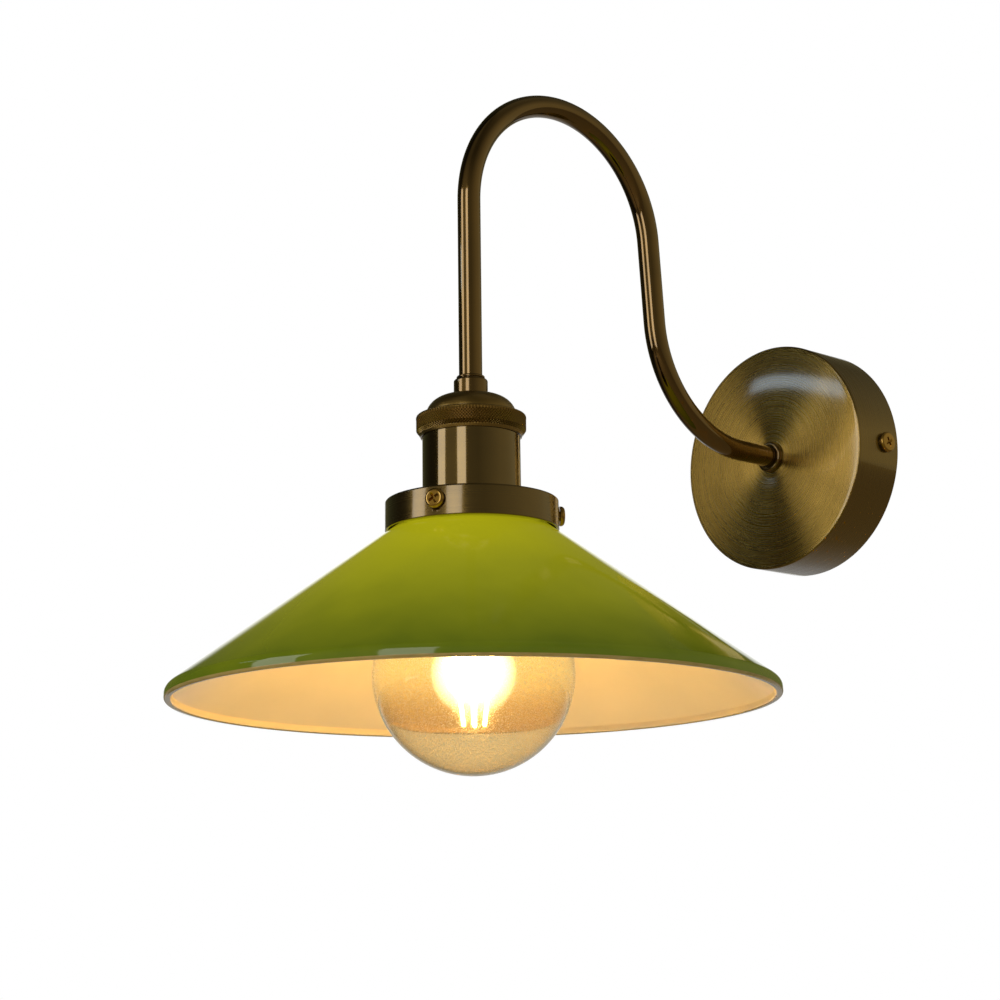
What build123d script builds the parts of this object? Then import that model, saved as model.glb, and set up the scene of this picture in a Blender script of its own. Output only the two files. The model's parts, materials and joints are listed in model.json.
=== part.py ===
from build123d import *
import os
from math import asin, cos, pi, radians, sin, sqrt, tan

# Gooseneck wall sconce. Millimetres, +Z up. The wall is the plane Y = 0, the canopy's axis runs
# along Y through the origin, and the lamp hangs on a vertical axis in front of the wall, at -Y.

os.makedirs("parts", exist_ok=True)

# Fits
slip_fit = 0.05  # radial clearance of a tube, spigot or shank in its hole
rest_gap = 0.3  # gap between curved faces of pieces that move apart
touch_gap = 0.1  # gap between flat faces of pieces that move apart
loose_fit = 0.3  # radial clearance of a screw or cable that passes a hole freely

# Canopy: a spun cup with its mouth on the wall
canopy_diameter = 102.0
canopy_depth = 27.0
canopy_wall = 1.0
canopy_edge = 0.9
side_screw_from_wall = 8.7

# Wall bracket: a strip with two bent ears and a wider hub
bracket_thickness = 1.5
bracket_width = 14.0
ear_corner = 3.5
ear_depth = 14.0
ear_gap = 0.8
ear_boss_radius = 3.6
ear_boss_length = 1.6
hub_width = 24.0
hub_above = 31.0
hub_below = 17.0
hub_corner = 3.0
cable_hole_radius = 6.0
slot_spacing = 66.0
slot_length = 12.0
slot_width = 4.5

# Arm: one bent tube
tube_diameter = 9.5
tube_wall = 0.8
arm_reach = 208.0
arch_radius = 52.5
arch_centre_height = 81.0
leg_lean = 4.3
lower_bend_radius = 53.5
tube_tail = 9.0  # length of tube behind the canopy's face
flange_diameter = 13.6
flange_thickness = 2.2
flange_round = 0.8
nut_across_flats = 14.0
nut_thickness = 3.6
lock_washer_diameter = 15.0
lock_washer_thickness = 0.9
lock_washer_tooth_count = 12
bushing_wall = 0.9
bushing_depth = 3.0
bushing_lip = 1.2

# Collar between the arm's leg and the socket
collar_underside = -2.2
collar_diameter = 13.8
collar_height = 7.0
collar_chamfer = 1.1
bead_diameter = 11.0
bead_height = 0.9

# Socket cap: a dome that ends in a knurled ring, and the plain shell below it
dome_top_radius = 7.0
dome_base_radius = 18.3
dome_height = 8.4
cap_wall = 1.4
knurl_diameter = 44.3
knurl_height = 8.6
knurl_top_round = 1.3
knurl_foot_chamfer = 1.5
knurl_foot_height = 2.4
shell_diameter = 39.5
shell_wall = 1.0
shell_exposed = 26.3
shell_engaged = 6.0
shell_foot = 1.2
tail_in_dome = 7.0  # length of tube below the collar

# Ceramic core and its metal parts
core_diameter = 37.2
core_spigot_radius = 16.8
core_top_below_cap = 21.8
core_base_thickness = 11.0
core_spigot_length = 11.5
core_rim_round = 0.8
screw_shell_wall = 0.55
screw_shell_height = 19.0
terminal_from_axis = 8.0
terminal_size = 5.0
terminal_height = 5.5
terminal_wire_hole_depth = 3.9
terminal_wire_depth = 3.3
terminal_screw_radius = 1.5
terminal_screw_head_radius = 2.3
terminal_screw_head = 1.4
terminal_screw_slot = 0.7
tongue_length = 12.0
tongue_width = 5.0
tongue_thickness = 0.4
tongue_corner = 2.2
tongue_pivot_from_axis = 8.0
anchor_length = 4.0
anchor_thickness = 0.9

# Edison-type knuckle thread, 27 mm across: a round section carried along a thin helix
thread_pitch = 3.629
thread_mean_radius = 12.6
thread_swing = 0.52
thread_clearance = 0.25
thread_runout_turns = 2  # whole turns by which the hole's thread outruns the bulb's at each end

# Shade gallery: a shallow cup that holds the glass by three screws
gallery_diameter = 69.4
gallery_height = 12.0
gallery_wall = 1.2
gallery_round = 1.5
gallery_screw_drop = 5.5
gallery_screw_turn = -65.2  # angle of the first screw, from +X about the lamp's axis
gallery_screw_count = 3
lock_ring_diameter = 45.0
lock_ring_height = 4.5
lock_ring_notch = 3.0
lock_ring_notch_count = 4

# Pan-head screws
screw_radius = 2.0
screw_head_radius = 3.6
screw_head_height = 2.1
head_round_share = 0.7  # part of a head's height that its rounded rim takes
side_screw_head_radius = 4.0
recess_reach = 2.0
recess_width = 0.9
recess_depth = 1.1
tip_pad_radius = 2.3
tip_pad_thickness = 1.1
side_washer_radius = 3.5
side_washer_thickness = 0.6
side_screw_length = 7.4

# Shade: a blown-glass cone with a straight neck and a rim that turns down
shade_diameter = 241.0  # across the outside of the rim
shade_thickness = 3.0
shade_neck_radius = 28.5
shade_neck_length = 7.3
shade_lip = 1.5
shade_lip_height = 1.5
shade_top_gap = 0.5
shade_cone_slope = 36.0  # angle of the cone below the horizontal
shade_rim_radius = 8.5
shade_neck_bend = 4.0
shade_edge_round = 1.1

# Bulb: an 80 mm globe with glowing sticks on a glass stem
bulb_diameter = 80.0
bulb_length = 118.0
bulb_glass = 0.8
bulb_neck_radius = 13.2
bulb_neck_top = 24.5  # from the contact's tip down to the glass's open end
bulb_neck_share = 0.318  # part of the bare neck that is straight
skirt_wall = 0.7
cap_thread_length = 16.5
cap_bore_radius = 11.2
insulator_height = 4.0
contact_radius = 4.8
contact_height = 1.6
contact_round = 1.0
insulator_top_radius = 5.6
stem_radius = 3.2
stem_length = 34.0
stem_flare_radius = 11.6
stem_flare_height = 7.0
stick_count = 4
stick_radius = 0.9
stick_length = 37.0
stick_top_from_axis = 8.5
stick_foot_from_axis = 4.0
stick_drop = 62.0  # from the contact's tip down to the sticks' upper ends
lead_radius = 0.35
lead_root_from_axis = 1.9
lead_root_depth = 0.6  # how far above the stem's tip a lead starts
lead_clearance = 0.2
driver_radius = 9.0
driver_thickness = 1.2
driver_block = 7.0

# Wires
wire_radius = 1.0
wire_spacing = 2.2
run_share = 0.45  # part of the shorter run that a bend may take
wire_inset = 1.0  # how far inside the tube's ends the bent tails join the long run
wire_entry = 4.0  # straight length of a tail beside the tube or inside the block
wire_turn_height = 3.0
wire_lead_in_share = 0.3  # part of the drop to a post that a tail runs straight

# Terminal block and earth point inside the canopy
block_width = 20.0
block_height = 17.0
block_depth = 11.5
block_corner = 1.5
block_centre_height = 20.5
pole_from_centre = 5.0
insert_radius = 2.2
insert_bore = 1.3
insert_length = 14.0
block_screw_radius = 1.4
block_screw_spacing = 7.0
fixing_screw_radius = 1.5
fixing_screw_head_radius = 2.6
fixing_screw_head = 2.0
earth_screw_below = 11.5
tag_radius = 3.9
tag_thickness = 0.8
tag_overlap = 1.0
tag_barrel_wall = 0.45
tag_barrel_length = 2.8

# Worked-out places
tube_radius = tube_diameter / 2
tube_bore = tube_radius - tube_wall
lamp_y = -arm_reach
canopy_radius = canopy_diameter / 2
canopy_face = -canopy_depth
canopy_inside = canopy_face + canopy_wall
tube_inner_end = canopy_face + tube_tail
tube_lower_end = collar_underside - tail_in_dome
cap_top = collar_underside
knurl_top = cap_top - dome_height
knurl_foot = knurl_top - knurl_height
knurl_radius = knurl_diameter / 2
shell_radius = shell_diameter / 2
shell_top = knurl_foot + shell_engaged
gallery_top = knurl_foot - shell_exposed
gallery_radius = gallery_diameter / 2
gallery_foot = gallery_top - gallery_height
gallery_ceiling = gallery_top - gallery_wall
gallery_screw_height = gallery_top - gallery_screw_drop
core_top = cap_top - core_top_below_cap
core_base = core_top - core_base_thickness
core_shoulder = gallery_top + shell_foot
core_mouth = gallery_top - core_spigot_length
thread_bore_radius = thread_mean_radius + thread_clearance
screw_shell_radius = thread_bore_radius + thread_swing + screw_shell_wall
tongue_top = core_base - anchor_thickness
contact_tip = tongue_top - tongue_thickness - rest_gap
bulb_foot = contact_tip - bulb_length
bulb_radius = bulb_diameter / 2
bulb_centre = bulb_foot + bulb_radius
shade_neck_top = gallery_ceiling - shade_top_gap
shade_neck_foot = shade_neck_top - shade_neck_length

# Planes and axes of the two centre lines
canopy_axis = Axis((0, 0, 0), (0, -1, 0))
lamp_axis = Axis((0, lamp_y, 0), (0, 0, 1))
wall_plane = Plane(origin=(0, 0, 0), x_dir=(1, 0, 0), z_dir=(0, -1, 0))
canopy_section = Plane.XY
lamp_section = Plane(origin=(0, lamp_y, 0), x_dir=(1, 0, 0), z_dir=(0, -1, 0))
arm_plane = Plane.YZ


def lamp_level(height):
    """Horizontal plane on the lamp's axis at a height."""
    return Plane(origin=(0, lamp_y, height), x_dir=(1, 0, 0), z_dir=(0, 0, 1))


def wall_level(distance):
    """Plane parallel to the wall, at a distance in front of it, facing the room."""
    return wall_plane.offset(distance)


def radial_plane(angle, distance, height):
    """Upright plane that faces away from the lamp's axis, at an angle and a distance from it."""
    facing = Vector(cos(radians(angle)), sin(radians(angle)), 0)
    centre = Vector(0, lamp_y, height) + facing * distance
    return Plane(origin=centre, x_dir=(-facing.Y, facing.X, 0), z_dir=facing)


def turned(outline, section, axis):
    """Solid of revolution with a straight-sided outline."""
    with BuildPart() as piece:
        with BuildSketch(section):
            with BuildLine():
                Polyline(*outline, close=True)
            make_face()
        revolve(axis=axis)
    return piece


def pan_head_screw(under_head, head_radius, head_height, shank_radius, shank_length):
    """Cross-recessed pan-head screw. The plane lies under the head and faces its driver."""
    with BuildPart() as screw:
        with BuildSketch(under_head):
            Circle(head_radius)
        extrude(amount=head_height)
        rim = screw.edges().filter_by(GeomType.CIRCLE).sort_by(Axis(under_head.origin, under_head.z_dir))[-1]
        fillet(rim, head_height * head_round_share)
        with BuildSketch(under_head):
            Circle(shank_radius)
        extrude(amount=-shank_length)
        with BuildSketch(under_head.offset(head_height)):
            Rectangle(2 * recess_reach, recess_width)
            Rectangle(recess_width, 2 * recess_reach)
            Circle(recess_width)
        extrude(amount=-recess_depth, mode=Mode.SUBTRACT)
    return screw


def bend_radii(route):
    """Radius at each inner point of a route: a share of its shorter run over tan of half the turn."""
    radii = []
    for before, corner, after in zip(route, route[1:], route[2:]):
        arriving = Vector(*corner) - Vector(*before)
        leaving = Vector(*after) - Vector(*corner)
        half_turn = radians(arriving.get_angle(leaving)) / 2
        radii.append(run_share * min(arriving.length, leaving.length) / tan(half_turn))
    return radii


# ---------------------------------------------------------------- wall bracket

ear_face = canopy_radius - canopy_wall - ear_gap
ear_inner = ear_face - bracket_thickness

with BuildPart() as wall_bracket:
    with BuildSketch(Plane.XY.offset(-bracket_width / 2)):
        with BuildLine():
            Polyline(
                (-ear_face, 0),
                (ear_face, 0),
                (ear_face, -ear_depth),
                (ear_inner, -ear_depth),
                (ear_inner, -bracket_thickness),
                (-ear_inner, -bracket_thickness),
                (-ear_inner, -ear_depth),
                (-ear_face, -ear_depth),
                close=True,
            )
        make_face()
    extrude(amount=bracket_width)
    bend_edges = wall_bracket.edges().filter_by(Axis.Z).group_by(Axis.Y)[-1]
    fillet(bend_edges, bracket_thickness)
    ear_tips = wall_bracket.edges().filter_by(Axis.X).group_by(Axis.Y)[0]
    fillet(ear_tips, ear_corner)
    with BuildSketch(wall_plane):
        with Locations((0, (hub_above - hub_below) / 2)):
            RectangleRounded(hub_width, hub_above + hub_below, hub_corner)
    extrude(amount=bracket_thickness)
    for side in (-1, 1):
        ear_plane = Plane(origin=(side * ear_inner, -side_screw_from_wall, 0), z_dir=(-side, 0, 0))
        with BuildSketch(ear_plane):
            Circle(ear_boss_radius)
        extrude(amount=ear_boss_length)
        with BuildSketch(ear_plane.offset(ear_boss_length)):
            Circle(screw_radius + slip_fit)
        extrude(amount=-ear_boss_length - bracket_thickness, mode=Mode.SUBTRACT)
    with BuildSketch(wall_plane):
        Circle(cable_hole_radius)
        with Locations((-slot_spacing / 2, 0), (slot_spacing / 2, 0)):
            SlotOverall(slot_length, slot_width)
        with Locations((0, -earth_screw_below)):
            Circle(screw_radius + slip_fit)
        with Locations((0, block_centre_height)):
            Circle(fixing_screw_radius + slip_fit)
    extrude(amount=bracket_thickness, mode=Mode.SUBTRACT)
wall_bracket.part.label = "wall_bracket"
export_step(wall_bracket.part, "parts/wall_bracket.step")

# ---------------------------------------------------------------- canopy

with BuildPart() as canopy:
    with BuildSketch(wall_plane):
        Circle(canopy_radius)
    extrude(amount=canopy_depth)
    chamfer(canopy.edges().filter_by(GeomType.CIRCLE).sort_by(Axis.Y)[0], canopy_edge)
    with BuildSketch(wall_plane):
        Circle(canopy_radius - canopy_wall)
    extrude(amount=canopy_depth - canopy_wall, mode=Mode.SUBTRACT)
    inner_corner = canopy.edges().filter_by(GeomType.CIRCLE).filter_by_position(
        Axis.Y, canopy_inside - touch_gap, canopy_inside + touch_gap
    )
    fillet(inner_corner, canopy_edge)
    with BuildSketch(wall_plane):
        Circle(tube_radius + slip_fit)
    extrude(amount=canopy_depth, mode=Mode.SUBTRACT)
    with BuildSketch(Plane(origin=(-canopy_radius, -side_screw_from_wall, 0), z_dir=(1, 0, 0))):
        Circle(screw_radius + loose_fit)
    extrude(amount=canopy_diameter, mode=Mode.SUBTRACT)
canopy.part.label = "canopy"
export_step(canopy.part, "parts/canopy.step")

# The washer under each side screw's head stands just off the round wall, and so does the head.
washer_seat = canopy_radius + touch_gap
for name, side in (("left", -1), ("right", 1)):
    seat = Plane(origin=(side * washer_seat, -side_screw_from_wall, 0), z_dir=(side, 0, 0))
    with BuildPart() as side_washer:
        with BuildSketch(seat):
            Circle(side_washer_radius)
            Circle(screw_radius + slip_fit, mode=Mode.SUBTRACT)
        extrude(amount=side_washer_thickness)
    side_washer.part.label = f"canopy_washer_{name}"
    export_step(side_washer.part, f"parts/canopy_washer_{name}.step")

    side_screw = pan_head_screw(
        seat.offset(side_washer_thickness + slip_fit),
        side_screw_head_radius,
        screw_head_height,
        screw_radius,
        side_screw_length,
    )
    side_screw.part.label = f"canopy_screw_{name}"
    export_step(side_screw.part, f"parts/canopy_screw_{name}.step")

# ---------------------------------------------------------------- arm

lean = radians(leg_lean)
lower_bend_top = lower_bend_radius * (1 - sin(lean))
arch_end_height = arch_centre_height + arch_radius * sin(lean)
leaning_run = (arch_end_height - lower_bend_top) / cos(lean)
arch_end_y = lamp_y + arch_radius * (1 + cos(lean))
lower_bend_y = arch_end_y + leaning_run * sin(lean) + lower_bend_radius * cos(lean)


def arm_route(sideways, inner_end, lower_end):
    """Centre line of the arm, set sideways in X: out of the canopy, up, over the arch and down."""
    with BuildLine(arm_plane.offset(sideways)) as route:
        tail = Line((inner_end, 0), (lower_bend_y, 0))
        rise = JernArc(tail @ 1, (-1, 0), lower_bend_radius, leg_lean - 90)
        straight = Line(rise @ 1, (arch_end_y, arch_end_height))
        arch = CenterArc((lamp_y + arch_radius, arch_centre_height), arch_radius, leg_lean, 180 - leg_lean)
        Line((lamp_y, arch_centre_height), (lamp_y, lower_end))
    return route


arm_line = arm_route(0, tube_inner_end, tube_lower_end)
with BuildPart() as arm_tube:
    with BuildSketch(Plane(origin=(0, tube_inner_end, 0), z_dir=(0, -1, 0))):
        Circle(tube_radius)
        Circle(tube_bore, mode=Mode.SUBTRACT)
    sweep(path=arm_line.wire())
arm_tube.part.label = "arm_tube"
export_step(arm_tube.part, "parts/arm_tube.step")
swept_share = arm_tube.part.volume / (pi * (tube_radius**2 - tube_bore**2) * arm_line.wire().length)
print("arm tube length", arm_line.wire().length, "volume share", swept_share)

with BuildPart() as arm_flange:
    with BuildSketch(wall_level(canopy_depth)):
        Circle(flange_diameter / 2)
        Circle(tube_radius + slip_fit, mode=Mode.SUBTRACT)
    extrude(amount=flange_thickness)
    outer_rims = arm_flange.edges().filter_by(GeomType.CIRCLE).sort_by(SortBy.RADIUS)[-2:]
    fillet(outer_rims, flange_round)
arm_flange.part.label = "arm_flange"
export_step(arm_flange.part, "parts/arm_flange.step")

# Behind the canopy's face a washer and a nut hold the arm, and a bushing covers the tube's edge.
nut_side = canopy_depth - canopy_wall - lock_washer_thickness
with BuildPart() as arm_lock_washer:
    with BuildSketch(wall_level(nut_side)):
        Circle(lock_washer_diameter / 2)
        Circle(tube_radius + slip_fit, mode=Mode.SUBTRACT)
        with PolarLocations(lock_washer_diameter / 2, lock_washer_tooth_count):
            Circle(lock_washer_thickness, mode=Mode.SUBTRACT)
    extrude(amount=lock_washer_thickness)
arm_lock_washer.part.label = "arm_lock_washer"
export_step(arm_lock_washer.part, "parts/arm_lock_washer.step")

with BuildPart() as arm_nut:
    with BuildSketch(wall_level(nut_side - nut_thickness)):
        RegularPolygon(nut_across_flats / 2, 6, major_radius=False)
        Circle(tube_radius + slip_fit, mode=Mode.SUBTRACT)
    extrude(amount=nut_thickness)
arm_nut.part.label = "arm_nut"
export_step(arm_nut.part, "parts/arm_nut.step")

bushing_start = -tube_inner_end - bushing_lip
bushing = turned(
    [
        (tube_bore, -bushing_start),
        (tube_radius + bushing_wall, -bushing_start),
        (tube_radius + bushing_wall, -bushing_start - bushing_lip - bushing_depth),
        (tube_radius + slip_fit, -bushing_start - bushing_lip - bushing_depth),
        (tube_radius + slip_fit, -bushing_start - bushing_lip),
        (tube_bore, -bushing_start - bushing_lip),
    ],
    canopy_section,
    canopy_axis,
)
bushing.part.label = "arm_bushing"
export_step(bushing.part, "parts/arm_bushing.step")

# ---------------------------------------------------------------- collar and socket cap

with BuildPart() as arm_collar:
    with BuildSketch(lamp_level(collar_underside)):
        Circle(collar_diameter / 2)
    extrude(amount=collar_height)
    chamfer(arm_collar.edges().filter_by(GeomType.CIRCLE).sort_by(Axis.Z)[-1], collar_chamfer)
    with BuildSketch(lamp_level(collar_underside + collar_height)):
        Circle(bead_diameter / 2)
    extrude(amount=bead_height)
    fillet(arm_collar.edges().filter_by(GeomType.CIRCLE).sort_by(Axis.Z)[-1], bead_height / 2)
    with BuildSketch(lamp_level(collar_underside)):
        Circle(tube_radius + slip_fit)
    extrude(amount=collar_height + bead_height, mode=Mode.SUBTRACT)
arm_collar.part.label = "arm_collar"
export_step(arm_collar.part, "parts/arm_collar.step")

dome_width = dome_base_radius - dome_top_radius
cap_inside_top = cap_top - cap_wall
cap_seat_radius = nut_across_flats / 2 + loose_fit
with BuildPart() as socket_cap:
    with BuildSketch(lamp_section):
        with BuildLine():
            Line((0, cap_top), (dome_top_radius, cap_top))
            EllipticalCenterArc((dome_top_radius, knurl_top), dome_width, dome_height, arc_size=90)
            Line((dome_base_radius, knurl_top), (0, knurl_top))
            Line((0, knurl_top), (0, cap_top))
        make_face()
    revolve(axis=lamp_axis)
    with BuildSketch(lamp_section):
        with BuildLine():
            Polyline(
                (0, knurl_top),
                (knurl_radius, knurl_top),
                (knurl_radius, knurl_foot + knurl_foot_height),
                (knurl_radius - knurl_foot_chamfer, knurl_foot),
                (0, knurl_foot),
                close=True,
            )
        make_face()
    revolve(axis=lamp_axis)
    shoulder = socket_cap.edges().filter_by(GeomType.CIRCLE).filter_by(
        lambda edge: abs(edge.radius - knurl_radius) < slip_fit
    )
    fillet(shoulder.sort_by(Axis.Z)[-1], knurl_top_round)
    with BuildSketch(lamp_section):
        with BuildLine():
            Line((0, cap_inside_top), (cap_seat_radius, cap_inside_top))
            EllipticalCenterArc(
                (cap_seat_radius, cap_inside_top - dome_height),
                dome_base_radius - cap_wall - cap_seat_radius,
                dome_height,
                arc_size=90,
            )
            Line((dome_base_radius - cap_wall, cap_inside_top - dome_height), (0, cap_inside_top - dome_height))
            Line((0, cap_inside_top - dome_height), (0, cap_inside_top))
        make_face()
    revolve(axis=lamp_axis, mode=Mode.SUBTRACT)
    with BuildSketch(lamp_level(knurl_foot)):
        Circle(shell_radius + slip_fit)
    extrude(amount=shell_engaged, mode=Mode.SUBTRACT)
    with BuildSketch(lamp_level(knurl_foot)):
        Circle(dome_base_radius - cap_wall)
    extrude(amount=knurl_height - cap_wall, mode=Mode.SUBTRACT)
    with BuildSketch(lamp_level(knurl_top)):
        Circle(tube_radius + slip_fit)
    extrude(amount=dome_height, mode=Mode.SUBTRACT)
socket_cap.part.label = "socket_cap"
export_step(socket_cap.part, "parts/socket_cap.step")

cap_nut_side = cap_inside_top - lock_washer_thickness
with BuildPart() as cap_lock_washer:
    with BuildSketch(lamp_level(cap_nut_side)):
        Circle(nut_across_flats / 2)
        Circle(tube_radius + slip_fit, mode=Mode.SUBTRACT)
    extrude(amount=lock_washer_thickness)
cap_lock_washer.part.label = "cap_lock_washer"
export_step(cap_lock_washer.part, "parts/cap_lock_washer.step")

with BuildPart() as cap_nut:
    with BuildSketch(lamp_level(cap_nut_side - nut_thickness)):
        RegularPolygon(nut_across_flats / 2, 6, major_radius=False)
        Circle(tube_radius + slip_fit, mode=Mode.SUBTRACT)
    extrude(amount=nut_thickness)
cap_nut.part.label = "cap_nut"
export_step(cap_nut.part, "parts/cap_nut.step")

with BuildPart() as socket_shell:
    with BuildSketch(lamp_level(gallery_top)):
        Circle(shell_radius)
    extrude(amount=shell_top - gallery_top)
    with BuildSketch(lamp_level(core_shoulder)):
        Circle(shell_radius - shell_wall)
    extrude(amount=shell_top - core_shoulder, mode=Mode.SUBTRACT)
    with BuildSketch(lamp_level(gallery_top)):
        Circle(core_spigot_radius + slip_fit)
    extrude(amount=shell_foot, mode=Mode.SUBTRACT)
socket_shell.part.label = "socket_shell"
export_step(socket_shell.part, "parts/socket_shell.step")

# ---------------------------------------------------------------- ceramic core and contacts

terminal_angles = (0, 180, -90)

with BuildPart() as socket_core:
    with BuildSketch(lamp_level(core_shoulder)):
        Circle(core_diameter / 2)
    extrude(amount=core_top - core_shoulder)
    fillet(socket_core.edges().filter_by(GeomType.CIRCLE).sort_by(Axis.Z)[-1], core_rim_round)
    with BuildSketch(lamp_level(core_mouth)):
        Circle(core_spigot_radius)
    extrude(amount=core_shoulder - core_mouth)
    fillet(socket_core.edges().filter_by(GeomType.CIRCLE).sort_by(Axis.Z)[0], core_rim_round)
    with BuildSketch(lamp_level(core_mouth)):
        Circle(screw_shell_radius + slip_fit)
    extrude(amount=core_base - core_mouth, mode=Mode.SUBTRACT)
socket_core.part.label = "socket_core"
export_step(socket_core.part, "parts/socket_core.step")


def knuckle_thread(mean_radius, foot, length):
    """Round bar whose section is carried along a thin helix, so that it has a knuckle thread."""
    start = Plane(origin=(0, lamp_y, foot), x_dir=(1, 0, 0), z_dir=(0, 0, 1))
    with BuildPart() as bar:
        with BuildLine(start) as helix:
            Helix(pitch=thread_pitch, height=length, radius=thread_swing)
        with BuildSketch(Plane(origin=helix.wire() @ 0, x_dir=(1, 0, 0), z_dir=(0, 0, 1))):
            Circle(mean_radius)
        sweep(path=helix.wire(), normal=Vector(0, 0, 1))
    return bar


# The hole's thread starts whole turns below the bulb's, so both are in step.
cap_thread_top = contact_tip - contact_height - insulator_height + touch_gap
cap_thread_foot = cap_thread_top - cap_thread_length
thread_runout = thread_runout_turns * thread_pitch
screw_hole = knuckle_thread(
    thread_bore_radius, cap_thread_foot - thread_runout, screw_shell_height + 2 * thread_runout
)
with BuildPart() as screw_shell:
    with BuildSketch(lamp_level(core_mouth)):
        Circle(screw_shell_radius)
    extrude(amount=screw_shell_height)
    add(screw_hole.part, mode=Mode.SUBTRACT)
screw_shell.part.label = "screw_shell"
export_step(screw_shell.part, "parts/screw_shell.step")

# The centre contact: an anchor under the ceramic base, and a spring tongue that starts at its edge.
with BuildPart() as contact_anchor:
    with BuildSketch(lamp_level(core_base)):
        with Locations((-tongue_pivot_from_axis - anchor_length / 2, 0)):
            Rectangle(anchor_length, tongue_width)
    extrude(amount=-anchor_thickness)
contact_anchor.part.label = "contact_anchor"
export_step(contact_anchor.part, "parts/contact_anchor.step")

with BuildPart() as contact_tongue:
    with BuildSketch(lamp_level(tongue_top)):
        with Locations((-tongue_pivot_from_axis + touch_gap, 0)):
            Rectangle(tongue_length, tongue_width, align=(Align.MIN, Align.CENTER))
    extrude(amount=-tongue_thickness)
    free_corners = contact_tongue.edges().filter_by(Axis.Z).group_by(Axis.X)[-1]
    fillet(free_corners, tongue_corner)
contact_tongue.part.label = "contact_tongue"
export_step(contact_tongue.part, "parts/contact_tongue.step")

with BuildPart() as socket_terminals:
    for angle in terminal_angles:
        post_plane = radial_plane(angle, terminal_from_axis, core_top + terminal_height / 2)
        with BuildSketch(post_plane.offset(-terminal_size / 2)):
            Rectangle(terminal_size, terminal_height)
        extrude(amount=terminal_size)
        with BuildSketch(Plane(origin=post_plane.origin + Vector(0, 0, terminal_height / 2))):
            Circle(wire_radius + slip_fit)
        extrude(amount=-terminal_wire_hole_depth, mode=Mode.SUBTRACT)
        with BuildSketch(post_plane):
            Circle(terminal_screw_radius + slip_fit)
        extrude(amount=terminal_size, mode=Mode.SUBTRACT)
socket_terminals.part.label = "socket_terminals"
export_step(socket_terminals.part, "parts/socket_terminals.step")

with BuildPart() as terminal_screws:
    for angle in terminal_angles:
        head_plane = radial_plane(
            angle, terminal_from_axis + terminal_size / 2, core_top + terminal_height / 2
        )
        with BuildSketch(head_plane):
            Circle(terminal_screw_head_radius)
        extrude(amount=terminal_screw_head)
        with BuildSketch(head_plane):
            Circle(terminal_screw_radius)
        extrude(amount=-(terminal_size / 2 - wire_radius - slip_fit))
        with BuildSketch(head_plane.offset(terminal_screw_head)):
            Rectangle(2 * terminal_screw_head_radius, terminal_screw_slot)
        extrude(amount=-terminal_screw_slot, mode=Mode.SUBTRACT)
terminal_screws.part.label = "terminal_screws"
export_step(terminal_screws.part, "parts/terminal_screws.step")

# ---------------------------------------------------------------- shade gallery

gallery_inside = gallery_radius - gallery_wall
gallery_screw_angles = [gallery_screw_turn + 360 / gallery_screw_count * k for k in range(gallery_screw_count)]

with BuildPart() as shade_gallery:
    with BuildSketch(lamp_level(gallery_foot)):
        Circle(gallery_radius)
    extrude(amount=gallery_height)
    fillet(shade_gallery.edges().filter_by(GeomType.CIRCLE).sort_by(Axis.Z)[-1], gallery_round)
    with BuildSketch(lamp_level(gallery_foot)):
        Circle(gallery_inside)
    extrude(amount=gallery_height - gallery_wall, mode=Mode.SUBTRACT)
    with BuildSketch(lamp_level(gallery_ceiling)):
        Circle(core_spigot_radius + slip_fit)
    extrude(amount=gallery_wall, mode=Mode.SUBTRACT)
    for angle in gallery_screw_angles:
        with BuildSketch(radial_plane(angle, gallery_radius, gallery_screw_height)):
            Circle(screw_radius + slip_fit)
        extrude(amount=-2 * gallery_wall, mode=Mode.SUBTRACT)
shade_gallery.part.label = "shade_gallery"
export_step(shade_gallery.part, "parts/shade_gallery.step")

with BuildPart() as lock_ring:
    with BuildSketch(lamp_level(gallery_ceiling - lock_ring_height)):
        Circle(lock_ring_diameter / 2)
        Circle(core_spigot_radius + slip_fit, mode=Mode.SUBTRACT)
        with PolarLocations(lock_ring_diameter / 2, lock_ring_notch_count):
            Rectangle(lock_ring_notch, lock_ring_notch, mode=Mode.SUBTRACT)
    extrude(amount=lock_ring_height)
lock_ring.part.label = "lock_ring"
export_step(lock_ring.part, "parts/lock_ring.step")

pad_face = shade_neck_radius + rest_gap
head_seat = gallery_radius + rest_gap
for k, angle in enumerate(gallery_screw_angles):
    with BuildPart() as tip_pad:
        with BuildSketch(radial_plane(angle, pad_face, gallery_screw_height)):
            Circle(tip_pad_radius)
        extrude(amount=tip_pad_thickness)
    tip_pad.part.label = f"shade_screw_pad_{k + 1}"
    export_step(tip_pad.part, f"parts/shade_screw_pad_{k + 1}.step")

    shade_screw = pan_head_screw(
        radial_plane(angle, head_seat, gallery_screw_height),
        screw_head_radius,
        screw_head_height,
        screw_radius,
        head_seat - pad_face - tip_pad_thickness - touch_gap,
    )
    shade_screw.part.label = f"shade_screw_{k + 1}"
    export_step(shade_screw.part, f"parts/shade_screw_{k + 1}.step")

# ---------------------------------------------------------------- glass shade

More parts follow.
